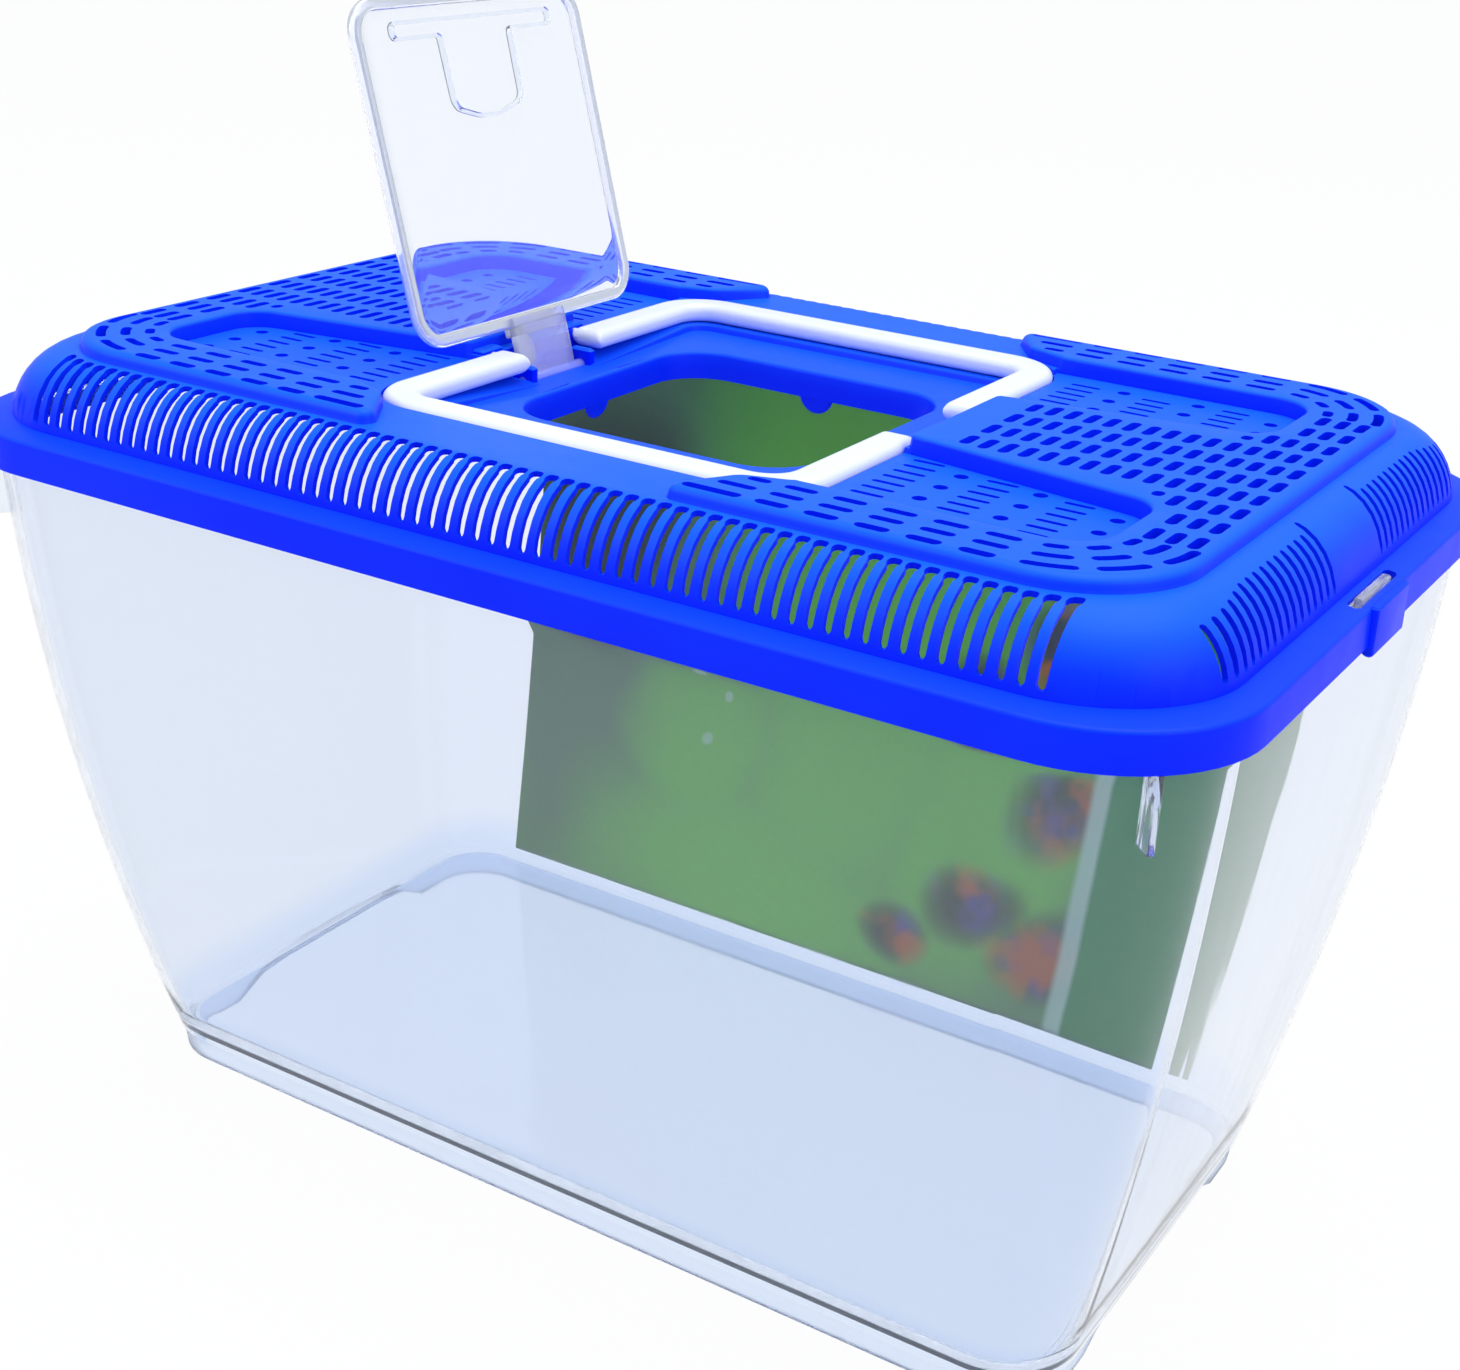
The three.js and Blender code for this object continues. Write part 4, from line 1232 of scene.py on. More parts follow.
@dataclass
class Lid:
    """The blue lid: one pierced sheet with a wall, its clips, bosses and rests, and the hinge's ears.

    Depths are those of the extra rings in an outline that give its edge a clean section. Fittings go
    into what they sit on by the length sunk.
    """

    form: LidForm = field(default_factory=LidForm)
    wall: float = 3.0
    thin_share: float = 0.42
    deep_from: float = 3.2
    guard_inset: float = 19.45
    panel_depths: tuple[float, ...] = (1.25, 2.0, 3.0)
    pit_depths: tuple[float, ...] = (0.0, 0.12)
    collar_depths: tuple[float, ...] = (-0.65, -0.25, 0.1, 0.3, 0.45)
    plain_places: tuple[float, ...] = (0.0, 4.5, 9.0)
    last_place_x: float = 130.7
    arc_degrees: tuple[float, float] = (4.0, 86.0)
    arc_points: int = 15
    merging: float = 1e-5
    least_area: float = 1e-7
    sunk: float = 1.0
    bevel: float = 0.5
    clip_half: float = 10.8
    clip_proud: float = 1.25
    clip_foot_z: float = 171.8
    clip_rise: float = 0.3
    pin_x: float = -51.0
    pin_z: float = 191.5
    ear_half: float = 3.2
    ear_span: tuple[float, float] = (10.9, 13.1)
    ear_rise: float = 4.2
    ear_bevel: float = 0.6
    boss_y: float = 16.8
    boss_half: float = 4.0
    boss_length: float = 5.0
    boss_drop: float = 2.0
    rest_radius: float = 5.0
    rest_length: float = 1.6
    rest_margin: float = 0.3

    def rings(self) -> list[Array]:
        """The rings and outlines that the sheet's triangles follow."""
        form = self.form
        walls = form.step_depths()
        top = walls[-1]
        loops = [form.ring(inset) for inset in (*form.ring_insets()[0], self.guard_inset)]
        panel, tray = form.panel(), form.tray()
        for side in (1, -1):
            depths = (*walls[:-1], *self.panel_depths)
            loops.extend(moved_in(panel, depth) * (side, 1) for depth in depths)
            for end in (1, -1):
                loops.extend(moved_in(tray, top - depth) * (side, end) for depth in walls)
        for outline in (form.well(), form.shelf()):
            loops.extend(moved_in(outline, top - depth) for depth in walls)
        loops.extend(moved_in(form.pit(), depth) for depth in self.pit_depths)
        loops.extend(moved_in(form.opening(), depth) for depth in self.collar_depths)
        return loops

    def plan(self) -> tuple[Array, list[tuple[int, int]], list[list[int]]]:
        """The places, fixed edges and holes that the sheet is made from.

        Returns:
            Points of shape (n, 2), index pairs of the fixed edges, and a list of hole outlines.
        """
        loops = self.rings()
        holes = [counter_clockwise(loop) for loop in Perforations(self.form).holes()]
        holes.append(moved_in(self.form.opening(), self.form.collar_run))
        edges: list[tuple[int, int]] = []
        outlines: list[list[int]] = []
        start = 0
        for loop in loops + holes:
            ring = list(range(start, start + len(loop)))
            edges.extend(zip(ring, ring[1:] + ring[:1]))
            outlines.append(ring)
            start += len(loop)
        between = self.shoulder_points(self.form.ring_insets()[1])
        return np.concatenate([*loops, *holes, between]), edges, outlines[len(loops):]

    def shoulder_points(self, insets: Array) -> Array:
        """Places on the shoulder between the slits: corner arcs, and the middle of each rib."""
        form, pattern = self.form, Perforations(self.form)
        front = pattern.slit_pitch * np.arange(pattern.front_slits)
        ends = pattern.end_first + pattern.slit_pitch * (np.arange(pattern.end_slits) - 0.5)
        last_x, last_y = self.last_place_x, float(ends[-1]) + pattern.slit_pitch
        along = np.append(front, last_x)
        beside = np.concatenate([self.plain_places, ends, [last_y]])
        circle = directions(np.radians(np.linspace(*self.arc_degrees, self.arc_points)))
        found = []
        for inset in insets:
            radius = float(form.corner_radius(inset))
            arc = circle * radius + (form.half_x - inset - radius, form.half_y - inset - radius)
            arc = arc[(arc[:, 0] > last_x) & (arc[:, 1] > last_y)]
            rows = np.column_stack([along, form.across(np.full(len(along), inset), along, False)])
            columns = np.column_stack([form.across(np.full(len(beside), inset), beside, True), beside])
            found.append(np.concatenate([arc, rows, columns]))
        quarter = np.concatenate(found)
        full = np.concatenate([quarter * (sx, sy) for sx in (1, -1) for sy in (1, -1)])
        return np.unique(np.round(full, 4), axis=0)

    def sheet(self) -> Surface:
        """The outer face as triangles over the plan, lifted to the form's height."""
        points, edges, holes = self.plan()
        flat = [Vector(point) for point in points.tolist()]
        found, _, triangles, _, _, owners = delaunay_2d_cdt(flat, edges, holes, 0, self.merging)
        kept = np.array([triangle for triangle, owner in zip(triangles, owners) if not owner])
        used, faces = np.unique(kept, return_inverse=True)
        faces = faces.reshape(kept.shape)
        plan = np.array([tuple(v) for v in found])[used]
        a, b, c = (plan[faces[:, k]] for k in range(3))
        area = (b[:, 0] - a[:, 0]) * (c[:, 1] - a[:, 1]) - (b[:, 1] - a[:, 1]) * (c[:, 0] - a[:, 0])
        faces[area < 0] = faces[area < 0][:, ::-1]
        faces = faces[np.abs(area) > self.least_area]
        return Surface().add(np.column_stack([plan, self.form.height(plan)]), [faces])

    def thickness(self, sheet: bpy.types.Object) -> str:
        """A vertex group over the panels, where the wall has its full depth; it is thinner elsewhere.

        Args:
            sheet: the lid's sheet.

        Returns:
            The group's name.
        """
        places = np.empty(len(sheet.data.vertices) * 3)
        sheet.data.vertices.foreach_get("co", places)
        plan = places.reshape(-1, 3)[:, :2] / MM
        mirrored = np.column_stack([np.abs(plan[:, 0]), -np.abs(plan[:, 1])])
        deep = depth_inside(mirrored, self.form.panel()) > self.deep_from
        group = sheet.vertex_groups.new(name="panels")
        group.add(np.flatnonzero(deep).tolist(), 1.0, "REPLACE")
        return group.name

    def fittings(self) -> Surface:
        """Clips at the ends, the hinge's ears, the grips' bosses and rests under the collar."""
        form = self.form
        extra = Surface()
        for side in (1, -1):
            near, far = side * (form.half_x - self.sunk), side * (form.half_x + self.clip_proud)
            low = (near, -self.clip_half, self.clip_foot_z)
            extra.block(low, (far, self.clip_half, form.ledge_z + self.clip_rise), self.bevel)
            near, far = (side * y for y in self.ear_span)
            low = (self.pin_x - self.ear_half, near, form.pit_z - self.sunk)
            high = (self.pin_x + self.ear_half, far, self.pin_z + self.ear_rise)
            extra.block(low, high, self.ear_bevel)
            x, y = form.grip_middle - form.grip_half - self.sunk, side * self.boss_y
            low = (x - self.boss_length, y - self.boss_half, form.well_z - self.sunk)
            extra.block(low, (x, y + self.boss_half, form.panel_z - self.boss_drop), self.bevel)
            y = side * (form.opening_y - self.rest_margin)
            self.rest(extra, (sum(form.opening_x) / 2, y), (0.0, side * self.rest_length))
            x = form.opening_x[side > 0] - side * self.rest_margin
            self.rest(extra, (x, 0.0), (side * self.rest_length, 0.0))
        return extra

    def rest(self, surface: Surface, place: tuple[float, float], reach: tuple[float, float]) -> None:
        """Adds one half-round rest below the collar, from a place along its thickness."""
        z = self.form.collar_z + self.sunk
        surface.bar((*place, z), (place[0] + reach[0], place[1] + reach[1], z), self.rest_radius)

    def build(self, material: bpy.types.Material) -> list[bpy.types.Object]:
        """Makes the lid's pieces.

        Args:
            material: the blue plastic.

        Returns:
            The sheet and its fittings.
        """
        sheet = self.sheet().build("lid_shell", material, 40.0)
        wall = sheet.modifiers.new("wall", "SOLIDIFY")
        wall.thickness = self.wall * MM
        wall.offset = -1.0
        wall.vertex_group = self.thickness(sheet)
        wall.thickness_vertex_group = self.thin_share
        fittings = self.fittings().build("lid_fittings", material)
        for piece in (sheet, fittings):
            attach(piece, "lid")
        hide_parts("lid")
        return [sheet, fittings]


# Tank


@dataclass
class Tank:
    """The clear tank: one closed wall from the foot ring up to the rim and down inside to the floor.

    Rings are tables of height and inset. The step's heights count from the base's level, the
    mouth's downwards from the rim's top, and the insets of mouth and floor from the inner wall.
    """

    lid: LidForm = field(default_factory=LidForm)
    base_x: float = 134.3
    base_y: float = 69.8
    base_corner: float = 19.0
    top_inset: float = 4.0
    top_corner: float = 31.0
    bulge: float = 0.63
    foot: float = 6.0
    foot_gap: float = 31.0
    foot_ramp: float = 0.6
    foot_reach: float = 2.0
    underside: tuple[float, float] = (7.4, 5.2)
    foot_rings: Table = ((0.6, 5.0), (0.0, 4.4), (0.0, 1.8), (0.5, 1.2), (3.0, 0.9))
    step_rings: Table = ((0.0, 0.45), (0.5, 0.3), (1.4, 0.0))
    wall: float = 2.0
    top_z: float = 180.1
    rim_inset: float = 3.4
    rim_height: float = 3.0
    rim_bevel: float = 0.4
    neck: float = 0.8
    mouth_rings: Table = ((0.0, 0.3), (0.5, 0.0))
    inner_drop: float = 4.0
    inner_low_z: float = 16.0
    floor_rings: Table = ((12.6, 0.5), (10.4, 1.5), (9.2, 3.0), (8.7, 5.0), (8.6, 8.0))
    levels: int = 26
    rib_low: tuple[float, float, float] = (-3.0, -0.75, 157.2)
    rib_high: tuple[float, float, float] = (3.1, 0.75, 173.6)
    rib_bevel: float = 0.3
    lug_half: float = 9.5
    lug_insets: tuple[float, float] = (4.7, 2.5)
    lug_sunk: float = 1.0
    lug_rise: float = 1.1

    def section(self, z: float) -> tuple[float, float, float]:
        """Half sizes and corner radius of the outside at a height.

        The share s of the way from base to top is t + bulge t (1 - t), with t the share of the height.
        """
        t = min(max((z - self.foot) / (self.lid.skirt_z - self.foot), 0.0), 1.0)
        s = t + self.bulge * t * (1 - t)
        return (
            self.base_x + (self.lid.half_x - self.top_inset - self.base_x) * s,
            self.base_y + (self.lid.half_y - self.top_inset - self.base_y) * s,
            self.base_corner + (self.top_corner - self.base_corner) * s,
        )

    @staticmethod
    def flat_ring(half_x: float, half_y: float, radius: float, z: float) -> Array:
        """A ring with round corners at a height."""
        flat = rounded_ring(half_x, half_y, radius, 12, 10)
        return np.column_stack([flat, np.full(len(flat), z)])

    def ring(self, z: float, inset: float) -> Array:
        """A ring of the tank at a height, moved in by an inset."""
        half_x, half_y, corner = self.section(z)
        return self.flat_ring(half_x - inset, half_y - inset, max(corner - inset, 1.0), z)

    def rim_ring(self, z: float) -> Array:
        """A ring of the rim, which fits inside the lid's skirt."""
        inset = self.rim_inset
        radius = float(self.lid.corner_radius(inset))
        return self.flat_ring(self.lid.half_x - inset, self.lid.half_y - inset, radius, z)

    def foot_ring(self, z: float, inset: float) -> Array:
        """A ring of the foot, raised to the base's level along the middle of each end."""
        ring = self.ring(z, inset)
        at_end = np.abs(ring[:, 0]) > self.base_x - inset - self.foot_reach
        share = np.clip((self.foot_gap - np.abs(ring[:, 1])) / self.foot_ramp, 0.0, 1.0) * at_end
        ring[:, 2] += (self.foot - ring[:, 2]) * share
        return ring

    def shell(self) -> Surface:
        """The tank's closed wall as rings from the underside's middle round to the floor's middle."""
        top, rim = self.top_z, self.top_z - self.rim_height
        rings = [self.ring(*self.underside)]
        rings.extend(self.foot_ring(z, inset) for z, inset in self.foot_rings)
        rings.extend(self.ring(self.foot + rise, inset) for rise, inset in self.step_rings)
        outer = np.linspace(self.foot + self.step_rings[-1][0], rim - self.neck, self.levels)
        rings.extend(self.ring(z, 0.0) for z in outer[1:])
        rings.extend(self.rim_ring(z) for z in (rim, rim + self.rim_bevel, top - self.rim_bevel, top))
        rings.extend(self.ring(top - drop, self.wall + inset) for drop, inset in self.mouth_rings)
        inner = np.linspace(top - self.inner_drop, self.inner_low_z, self.levels)
        rings.extend(self.ring(z, self.wall) for z in inner)
        rings.extend(self.ring(z, self.wall + inset) for z, inset in self.floor_rings)
        return Surface().tube(np.stack(rings))

    def add_ribs(self, surface: Surface) -> None:
        """Adds the short upright rib outside each corner."""
        half_x, half_y, corner = self.section(self.lid.skirt_z)
        inward = corner * (1 - math.sqrt(0.5))
        for sx in (1, -1):
            for sy in (1, -1):
                rib = Surface().block(self.rib_low, self.rib_high, self.rib_bevel)
                x, y, z = rib.points[0].T
                turn = sx * sy * math.pi / 4
                c, s = math.cos(turn), math.sin(turn)
                turned = np.column_stack([x * c - y * s, x * s + y * c, z])
                surface.add(turned + (sx * (half_x - inward), sy * (half_y - inward), 0.0), rib.faces)

    def lugs(self) -> Surface:
        """The lug on the rim in the middle of each end."""
        lugs = Surface()
        foot, top = self.top_z - self.lug_sunk, self.lid.ledge_z + self.lug_rise
        for side in (1, -1):
            near, far = (side * (self.lid.half_x - inset) for inset in self.lug_insets)
            lugs.block((near, -self.lug_half, foot), (far, self.lug_half, top))
        return lugs

    def build(self, material: bpy.types.Material, thick: bpy.types.Material) -> list[bpy.types.Object]:
        """Makes the tank and its lugs.

        Args:
            material: the clear plastic.
            thick: the same plastic where it is thick and milky.

        Returns:
            The tank and the lugs.
        """
        surface = self.shell()
        self.add_ribs(surface)
        tank = surface.build("tank_shell", material, 50.0)
        lugs = self.lugs().build("tank_lugs", thick, 50.0)
        for piece in (tank, lugs):
            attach(piece, "base")
        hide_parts("tank")
        return [tank, lugs]


@dataclass
class BackCard:
    """The printed card on the inner face of the tank's back wall."""

    tank: Tank = field(default_factory=Tank)
    thickness: float = 0.5
    gap: float = 0.55
    low_z: float = 10.4
    high_z: float = 169.6
    margin: float = 21.2
    levels: int = 34

    def build(self, material: bpy.types.Material) -> bpy.types.Object:
        """Makes the card as a thin closed sheet that follows the wall's bulge.

        At height z its back lies at the wall's half depth less wall and gap, and the half width is the
        wall's half length less the margin and the growth of the corner.

        Args:
            material: the print.

        Returns:
            The card.
        """
        rings = []
        for z in np.linspace(self.low_z, self.high_z, self.levels):
            half_x, half_y, corner = self.tank.section(float(z))
            wide = half_x - self.margin - (corner - self.tank.base_corner)
            back = half_y - self.tank.wall - self.gap
            front = back - self.thickness
            flat = np.array([[-wide, front], [wide, front], [wide, back], [-wide, back]])
            rings.append(np.column_stack([flat, np.full(4, z)]))
        card = Surface().tube(np.stack(rings)).build("back_card", material, 30.0)
        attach(card, "base")
        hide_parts("backdrop_card")
        return card


# Grips and hatch


@dataclass
class Grip:
    """One folding grip: a rounded bar round half of the well, with a pin at each end.

    The shares place the rings of an arm's round end, from its tip to its full height.
    """

    side: Side
    form: LidForm = field(default_factory=LidForm)
    height: float = 4.8
    pivot_y: float = 16.8
    pivot_z: float = 197.2
    corner: float = 15.0
    corner_points: int = 15
    section_round: float = 2.1
    end_shares: tuple[float, ...] = (0.985, 0.94, 0.86, 0.74, 0.6, 0.45, 0.3, 0.15)
    end_width: float = 0.86
    end_spread: float = 0.2
    arm_points: int = 6
    arm_gap: float = 2.0
    pin_radius: float = 1.6
    pin_sunk: float = 2.0
    pin_reach: float = 2.8

    def path(self) -> tuple[Array, Array]:
        """The bar's middle line and the factors of its section's width and height.

        The arms' last stretch is a half circle seen from the side: its height is sqrt(h^2 - s^2).
        """
        bar, height = self.form.grip_bar, self.height / 2
        half = self.form.grip_half - bar / 2
        reach = self.form.grip_reach - bar / 2
        radius = self.corner - bar / 2
        turns = np.linspace(0.0, math.pi / 2, self.corner_points)[::-1]
        across = half - radius + radius * np.sin(turns)
        arc = np.column_stack([across, -(reach - radius) - radius * np.cos(turns)])
        shares = np.array(self.end_shares)
        end = np.column_stack([np.full(len(shares), half), -(self.pivot_y - shares * height)])
        along = np.linspace(self.pivot_y, reach - radius - self.arm_gap, self.arm_points)
        arm = np.column_stack([np.full(self.arm_points, half), -along])
        right = np.concatenate([end, arm, arc])
        flat = np.concatenate([right, (right * (-1, 1))[::-1]])
        tall = np.concatenate([np.sqrt(1 - shares ** 2), np.ones(len(arm) + len(arc))])
        tall = np.concatenate([tall, tall[::-1]])
        wide = np.minimum(self.end_width + tall * self.end_spread, 1.0)
        if self.side is Side.HIGH:
            flat = (flat * (1, -1))[::-1]
        flat = flat + (self.form.grip_middle, 0.0)
        path = np.column_stack([flat, np.full(len(flat), self.pivot_z)])
        return path, np.column_stack([wide, tall])

    def build(self, material: bpy.types.Material) -> bpy.types.Object:
        """Makes the grip.

        Args:
            material: the white plastic.

        Returns:
            The grip.
        """
        form = self.form
        front = self.side is Side.LOW
        body = "front_grip" if front else "back_grip"
        section = rounded_ring(form.grip_bar / 2, self.height / 2, self.section_round, 7, 3)
        path, scales = self.path()
        surface = Surface().tube(swept(path, section, scales)[:, ::-1])
        y = -self.pivot_y if front else self.pivot_y
        for side in (1, -1):
            start = form.grip_middle + side * (form.grip_half - self.pin_sunk)
            end = form.grip_middle + side * (form.grip_half + self.pin_reach)
            surface.bar((start, y, self.pivot_z), (end, y, self.pivot_z), self.pin_radius)
        grip = surface.build(body + "_bar", material, 60.0)
        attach(grip, body)
        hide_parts(body)
        return grip


@dataclass
class Hatch:
    """The clear hatch, drawn shut with its pin at the origin and its free edge at +X, then opened.

    The plate's and the rim's sections are tables of inset and height, each from the corner that
    its method names. The tee's corners are x from its far edge, y and radius.
    """

    pin: tuple[float, float, float] = (-51.0, 0.0, 191.5)
    open_deg: float = 105.7
    near: float = 13.0
    length: float = 81.0
    half_width: float = 43.6
    corner: float = 9.0
    low: float = 2.3
    high: float = 4.7
    plate: float = 1.3
    plate_gap: float = 0.02
    plate_low: Table = ((6.0, 0.0), (0.3, 0.0), (0.0, 0.2))
    plate_high: Table = ((0.0, -0.4), (0.3, -0.25), (6.0, -0.25))
    rim: float = 3.0
    rim_tables: tuple[Table, ...] = (
        ((0.0, 0.4), (-0.15, 0.1), (-0.5, 0.0)),
        ((0.6, 0.0), (0.2, 0.15), (0.0, 0.6)),
        ((0.0, -1.0), (0.25, -0.4), (0.8, -0.08), (1.4, 0.0)),
        ((-1.2, 0.0), (-0.5, -0.12), (-0.1, -0.4), (0.0, -0.7)),
    )
    tee_margin: float = 6.3
    tee: Table = (
        (0.0, 30.0, 1.4), (-3.6, 30.0, 1.4), (-3.6, 13.4, 1.2), (-20.8, 13.0, 3.4), (-23.4, 4.0, 9.0),
    )
    tee_turn: float = 0.25
    tee_drop: float = 0.6
    tee_section: tuple[float, float, float] = (0.5, 0.8, 0.3)
    leaf_half: float = 10.5
    leaf_x: tuple[float, float] = (-0.8, 2.4)
    leaf_z: tuple[float, float] = (0.9, 3.0)
    riser_x: tuple[float, float] = (-2.2, 0.3)
    riser_z: tuple[float, float] = (2.7, 4.6)
    leaf_bevel: float = 0.35
    pin_radius: float = 1.5
    pin_half: float = 13.2

    def ring(self, inset: float, height: float) -> Array:
        """The plate's outline moved in by an inset, at a height over the pin."""
        half, radius = self.length / 2, max(self.corner - inset, 1.0)
        ring = rounded_ring(half - inset, self.half_width - inset, radius, 12, 4)
        return np.column_stack([ring + (self.near + half, 0.0), np.full(len(ring), height)])

    def rings(self, corners: Sequence[tuple[float, float]], tables: Sequence[Table]) -> Array:
        """Rings about a section.

        Args:
            corners: inset and height from which each table counts.
            tables: the section's points, as steps of inset and height.

        Returns:
            The rings, shape (number, points, 3).
        """
        return np.stack([
            self.ring(inset + step, height + rise)
            for (inset, height), table in zip(corners, tables) for step, rise in table
        ])

    def plate_rings(self) -> Array:
        """The plate inside the rim, from the middle of the underside to the middle of the top."""
        edge = self.rim + self.plate_gap
        corners = ((edge, self.high - self.plate), (edge, self.high))
        return self.rings(corners, (self.plate_low, self.plate_high))

    def rim_rings(self) -> Array:
        """The bead round the plate, from its low inner corner outwards and round."""
        corners = ((self.rim, self.low), (0.0, self.low), (0.0, self.high), (self.rim, self.high))
        return self.rings(corners, self.rim_tables)

    def add_tee(self, surface: Surface) -> None:
        """Adds the low T-shaped wall under the free edge."""
        far = self.near + self.length - self.tee_margin
        half = [(far + x, y, radius) for x, y, radius in self.tee]
        mirrored = [(x, -y, radius) for x, y, radius in reversed(half)]
        outline = filleted([mirrored[-1], *half, *mirrored[:-1]], self.tee_turn)
        height = self.high - self.plate - self.tee_drop
        path = np.column_stack([outline, np.full(len(outline), height)])
        rings = swept(path, rounded_ring(*self.tee_section, 3, 1), np.ones((len(path), 2)), True)
        surface.tube(rings[:, ::-1], closed=True)

    def add_hinge(self, surface: Surface) -> None:
        """Adds the leaf, the riser between leaf and plate, and the pin."""
        half = self.leaf_half
        low = (self.leaf_x[0], -half, self.leaf_z[0])
        surface.block(low, (self.near + self.leaf_x[1], half, self.leaf_z[1]), self.leaf_bevel)
        low = (self.near + self.riser_x[0], -half, self.riser_z[0])
        surface.block(low, (self.near + self.riser_x[1], half, self.riser_z[1]), self.leaf_bevel)
        surface.bar((0.0, -self.pin_half, 0.0), (0.0, self.pin_half, 0.0), self.pin_radius)

    def opened(self, points: Array) -> Array:
        """Points turned open about the pin and put in their place.

        With t the angle, x' = x cos t - z sin t and z' = x sin t + z cos t.
        """
        t = math.radians(self.open_deg)
        x = points[:, 0] * math.cos(t) - points[:, 2] * math.sin(t)
        z = points[:, 0] * math.sin(t) + points[:, 2] * math.cos(t)
        return np.column_stack([x, points[:, 1], z]) + np.array(self.pin)

    def build(self, material: bpy.types.Material, bead: bpy.types.Material) -> list[bpy.types.Object]:
        """Makes the hatch.

        Args:
            material: the clear plastic.
            bead: the same plastic where it is thick, at the rim and the hinge.

        Returns:
            The plate and the rim.
        """
        plate = Surface().tube(self.plate_rings())
        self.add_tee(plate)
        hatch = plate.mapped(self.opened).build("hatch_plate", material, 50.0)
        thick = Surface().tube(self.rim_rings()[:, ::-1], closed=True)
        self.add_hinge(thick)
        rim = thick.mapped(self.opened).build("hatch_rim", bead, 50.0)
        for piece in (hatch, rim):
            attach(piece, "hatch")
        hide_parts("hatch")
        return [hatch, rim]


# Studio


@dataclass(frozen=True)
class Lamp:
    """A square area lamp: where it hangs and its side in metres, and its power in watts."""

    name: str
    place: tuple[float, float, float]
    size: float
    power: float

    def build(self, target: tuple[float, float, float]) -> None:
        """Hangs the lamp and aims it at a target."""
        data = bpy.data.lights.new(self.name, "AREA")
        data.size = self.size
        data.energy = self.power
        lamp = bpy.data.objects.new(self.name, data)
        lamp.location = self.place
        aim = Vector(target) - Vector(self.place)
        lamp.rotation_euler = aim.to_track_quat("-Z", "Y").to_euler()
        bpy.context.scene.collection.objects.link(lamp)


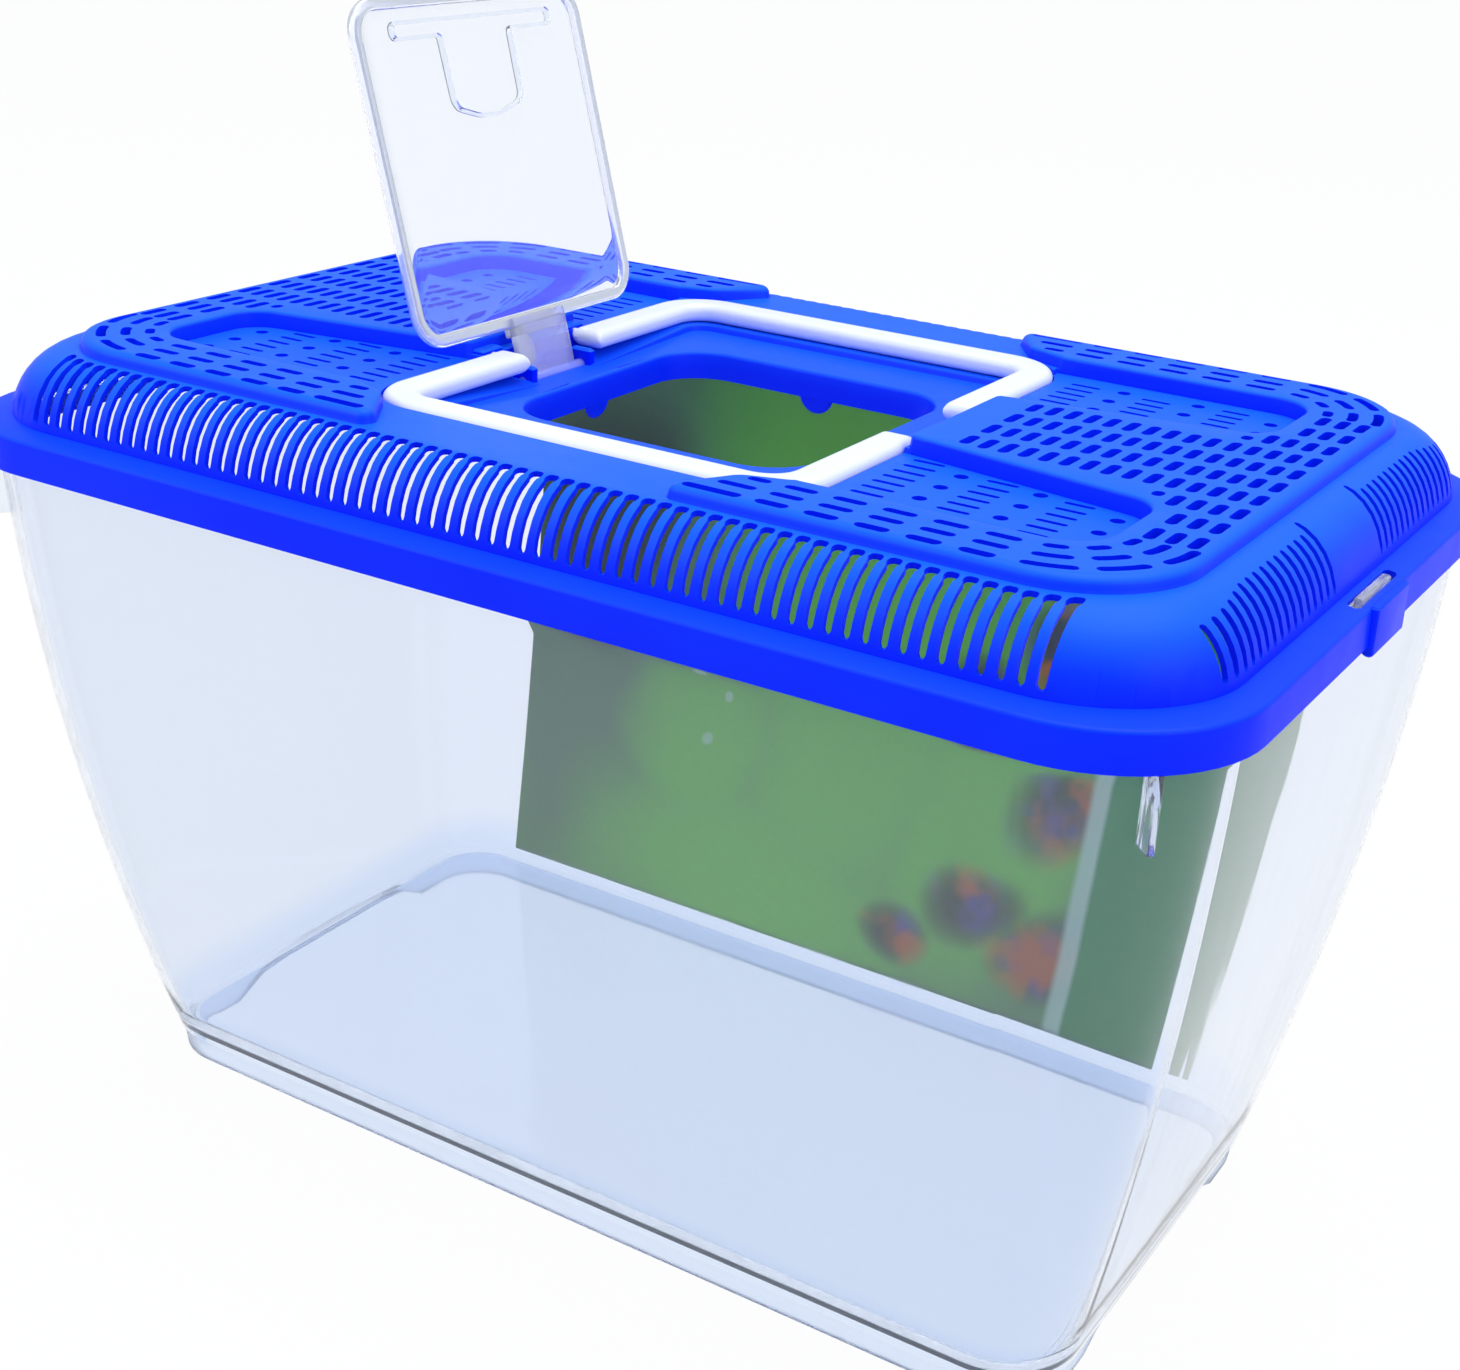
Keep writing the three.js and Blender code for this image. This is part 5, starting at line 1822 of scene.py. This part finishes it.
@dataclass
class Studio:
    """Floor, soft light and camera."""

    focal_px: float = 2163.23
    image_px: tuple[int, int] = (1460, 1370)
    azimuth_deg: float = 31.22
    elevation_deg: float = 22.798
    roll_deg: float = 2.754
    eye_mm: tuple[float, float, float] = (264.94, -428.97, 331.69)
    sensor_mm: float = 36.0
    near_clip: float = 0.01
    floor_half: float = 4.0
    floor_drop_mm: float = 0.3
    floor_colour: Colour = (0.88, 0.9, 0.93)
    floor_glow: float = 0.96
    sky: Colour = (0.80, 0.89, 1.0)
    sky_strength: float = 0.6
    white: Colour = (1.0, 1.0, 1.0)
    target: tuple[float, float, float] = (0.0, 0.0, 0.1)
    lamps: tuple[Lamp, ...] = (
        Lamp("overhead", (0.15, 0.2, 1.5), 1.3, 15.0),
        Lamp("front_left", (-0.9, -1.1, 1.0), 1.0, 8.0),
        Lamp("right", (1.3, -0.2, 0.8), 0.9, 5.0),
    )

    def camera(self) -> None:
        """A camera at the photograph's place; its axes are right, up and back as matrix columns."""
        a, e, r = (math.radians(v) for v in (self.azimuth_deg, self.elevation_deg, self.roll_deg))
        back = Vector((math.sin(a) * math.cos(e), -math.cos(a) * math.cos(e), math.sin(e)))
        right = Vector((0, 0, 1)).cross(back).normalized()
        up = back.cross(right)
        right, up = right * math.cos(r) + up * math.sin(r), up * math.cos(r) - right * math.sin(r)
        lens = bpy.data.cameras.new("camera")
        lens.sensor_width = self.sensor_mm
        lens.lens = self.focal_px / self.image_px[0] * self.sensor_mm
        lens.clip_start = self.near_clip
        camera = bpy.data.objects.new("camera", lens)
        turn = Matrix((right, up, back)).transposed().to_4x4()
        camera.matrix_world = Matrix.Translation(Vector(self.eye_mm) * MM) @ turn
        bpy.context.scene.collection.objects.link(camera)
        bpy.context.scene.camera = camera

    def floor(self) -> None:
        """A pale floor that shows nearly white to the camera and keeps the object's shadow."""
        finish = Finish("floor")
        camera, glossy, through = (
            finish.node("ShaderNodeLightPath", {}, {}, ray)
            for ray in ("Is Camera Ray", "Is Glossy Ray", "Is Transmission Ray")
        )
        seen = camera.maximum(glossy).maximum(through) * self.floor_glow
        plain = finish.node("ShaderNodeBsdfDiffuse", {}, {"Color": (*self.floor_colour, 1.0)})
        glow = {"Color": (*self.white, 1.0), "Strength": 1.0}
        white = finish.node("ShaderNodeEmission", {}, glow)
        mixed = finish.node("ShaderNodeMixShader", {}, {0: seen, 1: plain, 2: white})
        finish.links.new(mixed.socket, finish.output.inputs["Surface"])
        h = self.floor_half / MM
        corners = np.array([[-h, -h, 0], [h, -h, 0], [h, h, 0], [-h, h, 0]]) - (0, 0, self.floor_drop_mm)
        floor = Surface().add(corners, [np.array([[0, 1, 2, 3]])]).build("floor", finish.material)

    def world(self) -> None:
        """A pale sky that shows white to the camera and to transmitted rays."""
        world = bpy.data.worlds.new("sky")
        bpy.context.scene.world = world
        world.use_nodes = True
        nodes, links = world.node_tree.nodes, world.node_tree.links
        nodes.clear()
        output = nodes.new("ShaderNodeOutputWorld")
        path = nodes.new("ShaderNodeLightPath")
        seen = nodes.new("ShaderNodeMath")
        seen.operation = "MAXIMUM"
        links.new(path.outputs["Is Camera Ray"], seen.inputs[0])
        links.new(path.outputs["Is Transmission Ray"], seen.inputs[1])
        mixed = nodes.new("ShaderNodeMixShader")
        links.new(seen.outputs[0], mixed.inputs[0])
        for slot, colour, strength in ((1, self.sky, self.sky_strength), (2, self.white, 1.0)):
            light = nodes.new("ShaderNodeBackground")
            light.inputs["Color"].default_value = (*colour, 1.0)
            light.inputs["Strength"].default_value = strength
            links.new(light.outputs[0], mixed.inputs[slot])
        links.new(mixed.outputs[0], output.inputs["Surface"])

    def build(self) -> None:
        """Sets up floor, sky, lamps, camera and the view transform."""
        self.floor()
        self.world()
        for lamp in self.lamps:
            lamp.build(self.target)
        self.camera()
        bpy.context.scene.view_settings.view_transform = "Standard"


def main() -> None:
    """Builds the studio and every piece."""
    logging.basicConfig(level=logging.INFO, format="%(name)s: %(message)s")
    Studio().build()
    # The blue's paler colour on high upward faces is painted top light and sheen.
    blue = MouldedPlastic(
        "blue_plastic", (0.0, 0.022, 0.95), (0.0, 0.013, 0.89), 0.4,
        specular=0.08, painted_top_light=(0.008, 0.12, 0.98),
    ).build()
    white = MouldedPlastic("white_plastic", (0.80, 0.83, 0.90), (0.77, 0.80, 0.88), 0.33).build()
    clear = ClearPlastic(
        "clear_plastic", (0.89, 0.927, 0.993), 0.012, 0.0003,
        haze=0.03, milk=0.045, index=1.25, foot_tint=(0.75, 0.84, 0.998), foot_haze=0.4,
    ).build()
    clear_hatch = ClearPlastic(
        "clear_hatch", (0.92, 0.95, 1.0), 0.02, 0.0001, milk=0.06, index=1.22,
    ).build()
    bead = ClearPlastic(
        "clear_hatch_rim", (0.90, 0.92, 1.0), 0.08, 0.0001, haze=0.05, milk=0.24, index=1.32,
    ).build()
    Tank().build(clear, bead)
    BackCard().build(PrintedCard().build())
    Lid().build(blue)
    for side in Side:
        Grip(side).build(white)
    Hatch().build(clear_hatch, bead)


if __name__ == "__main__":
    main()
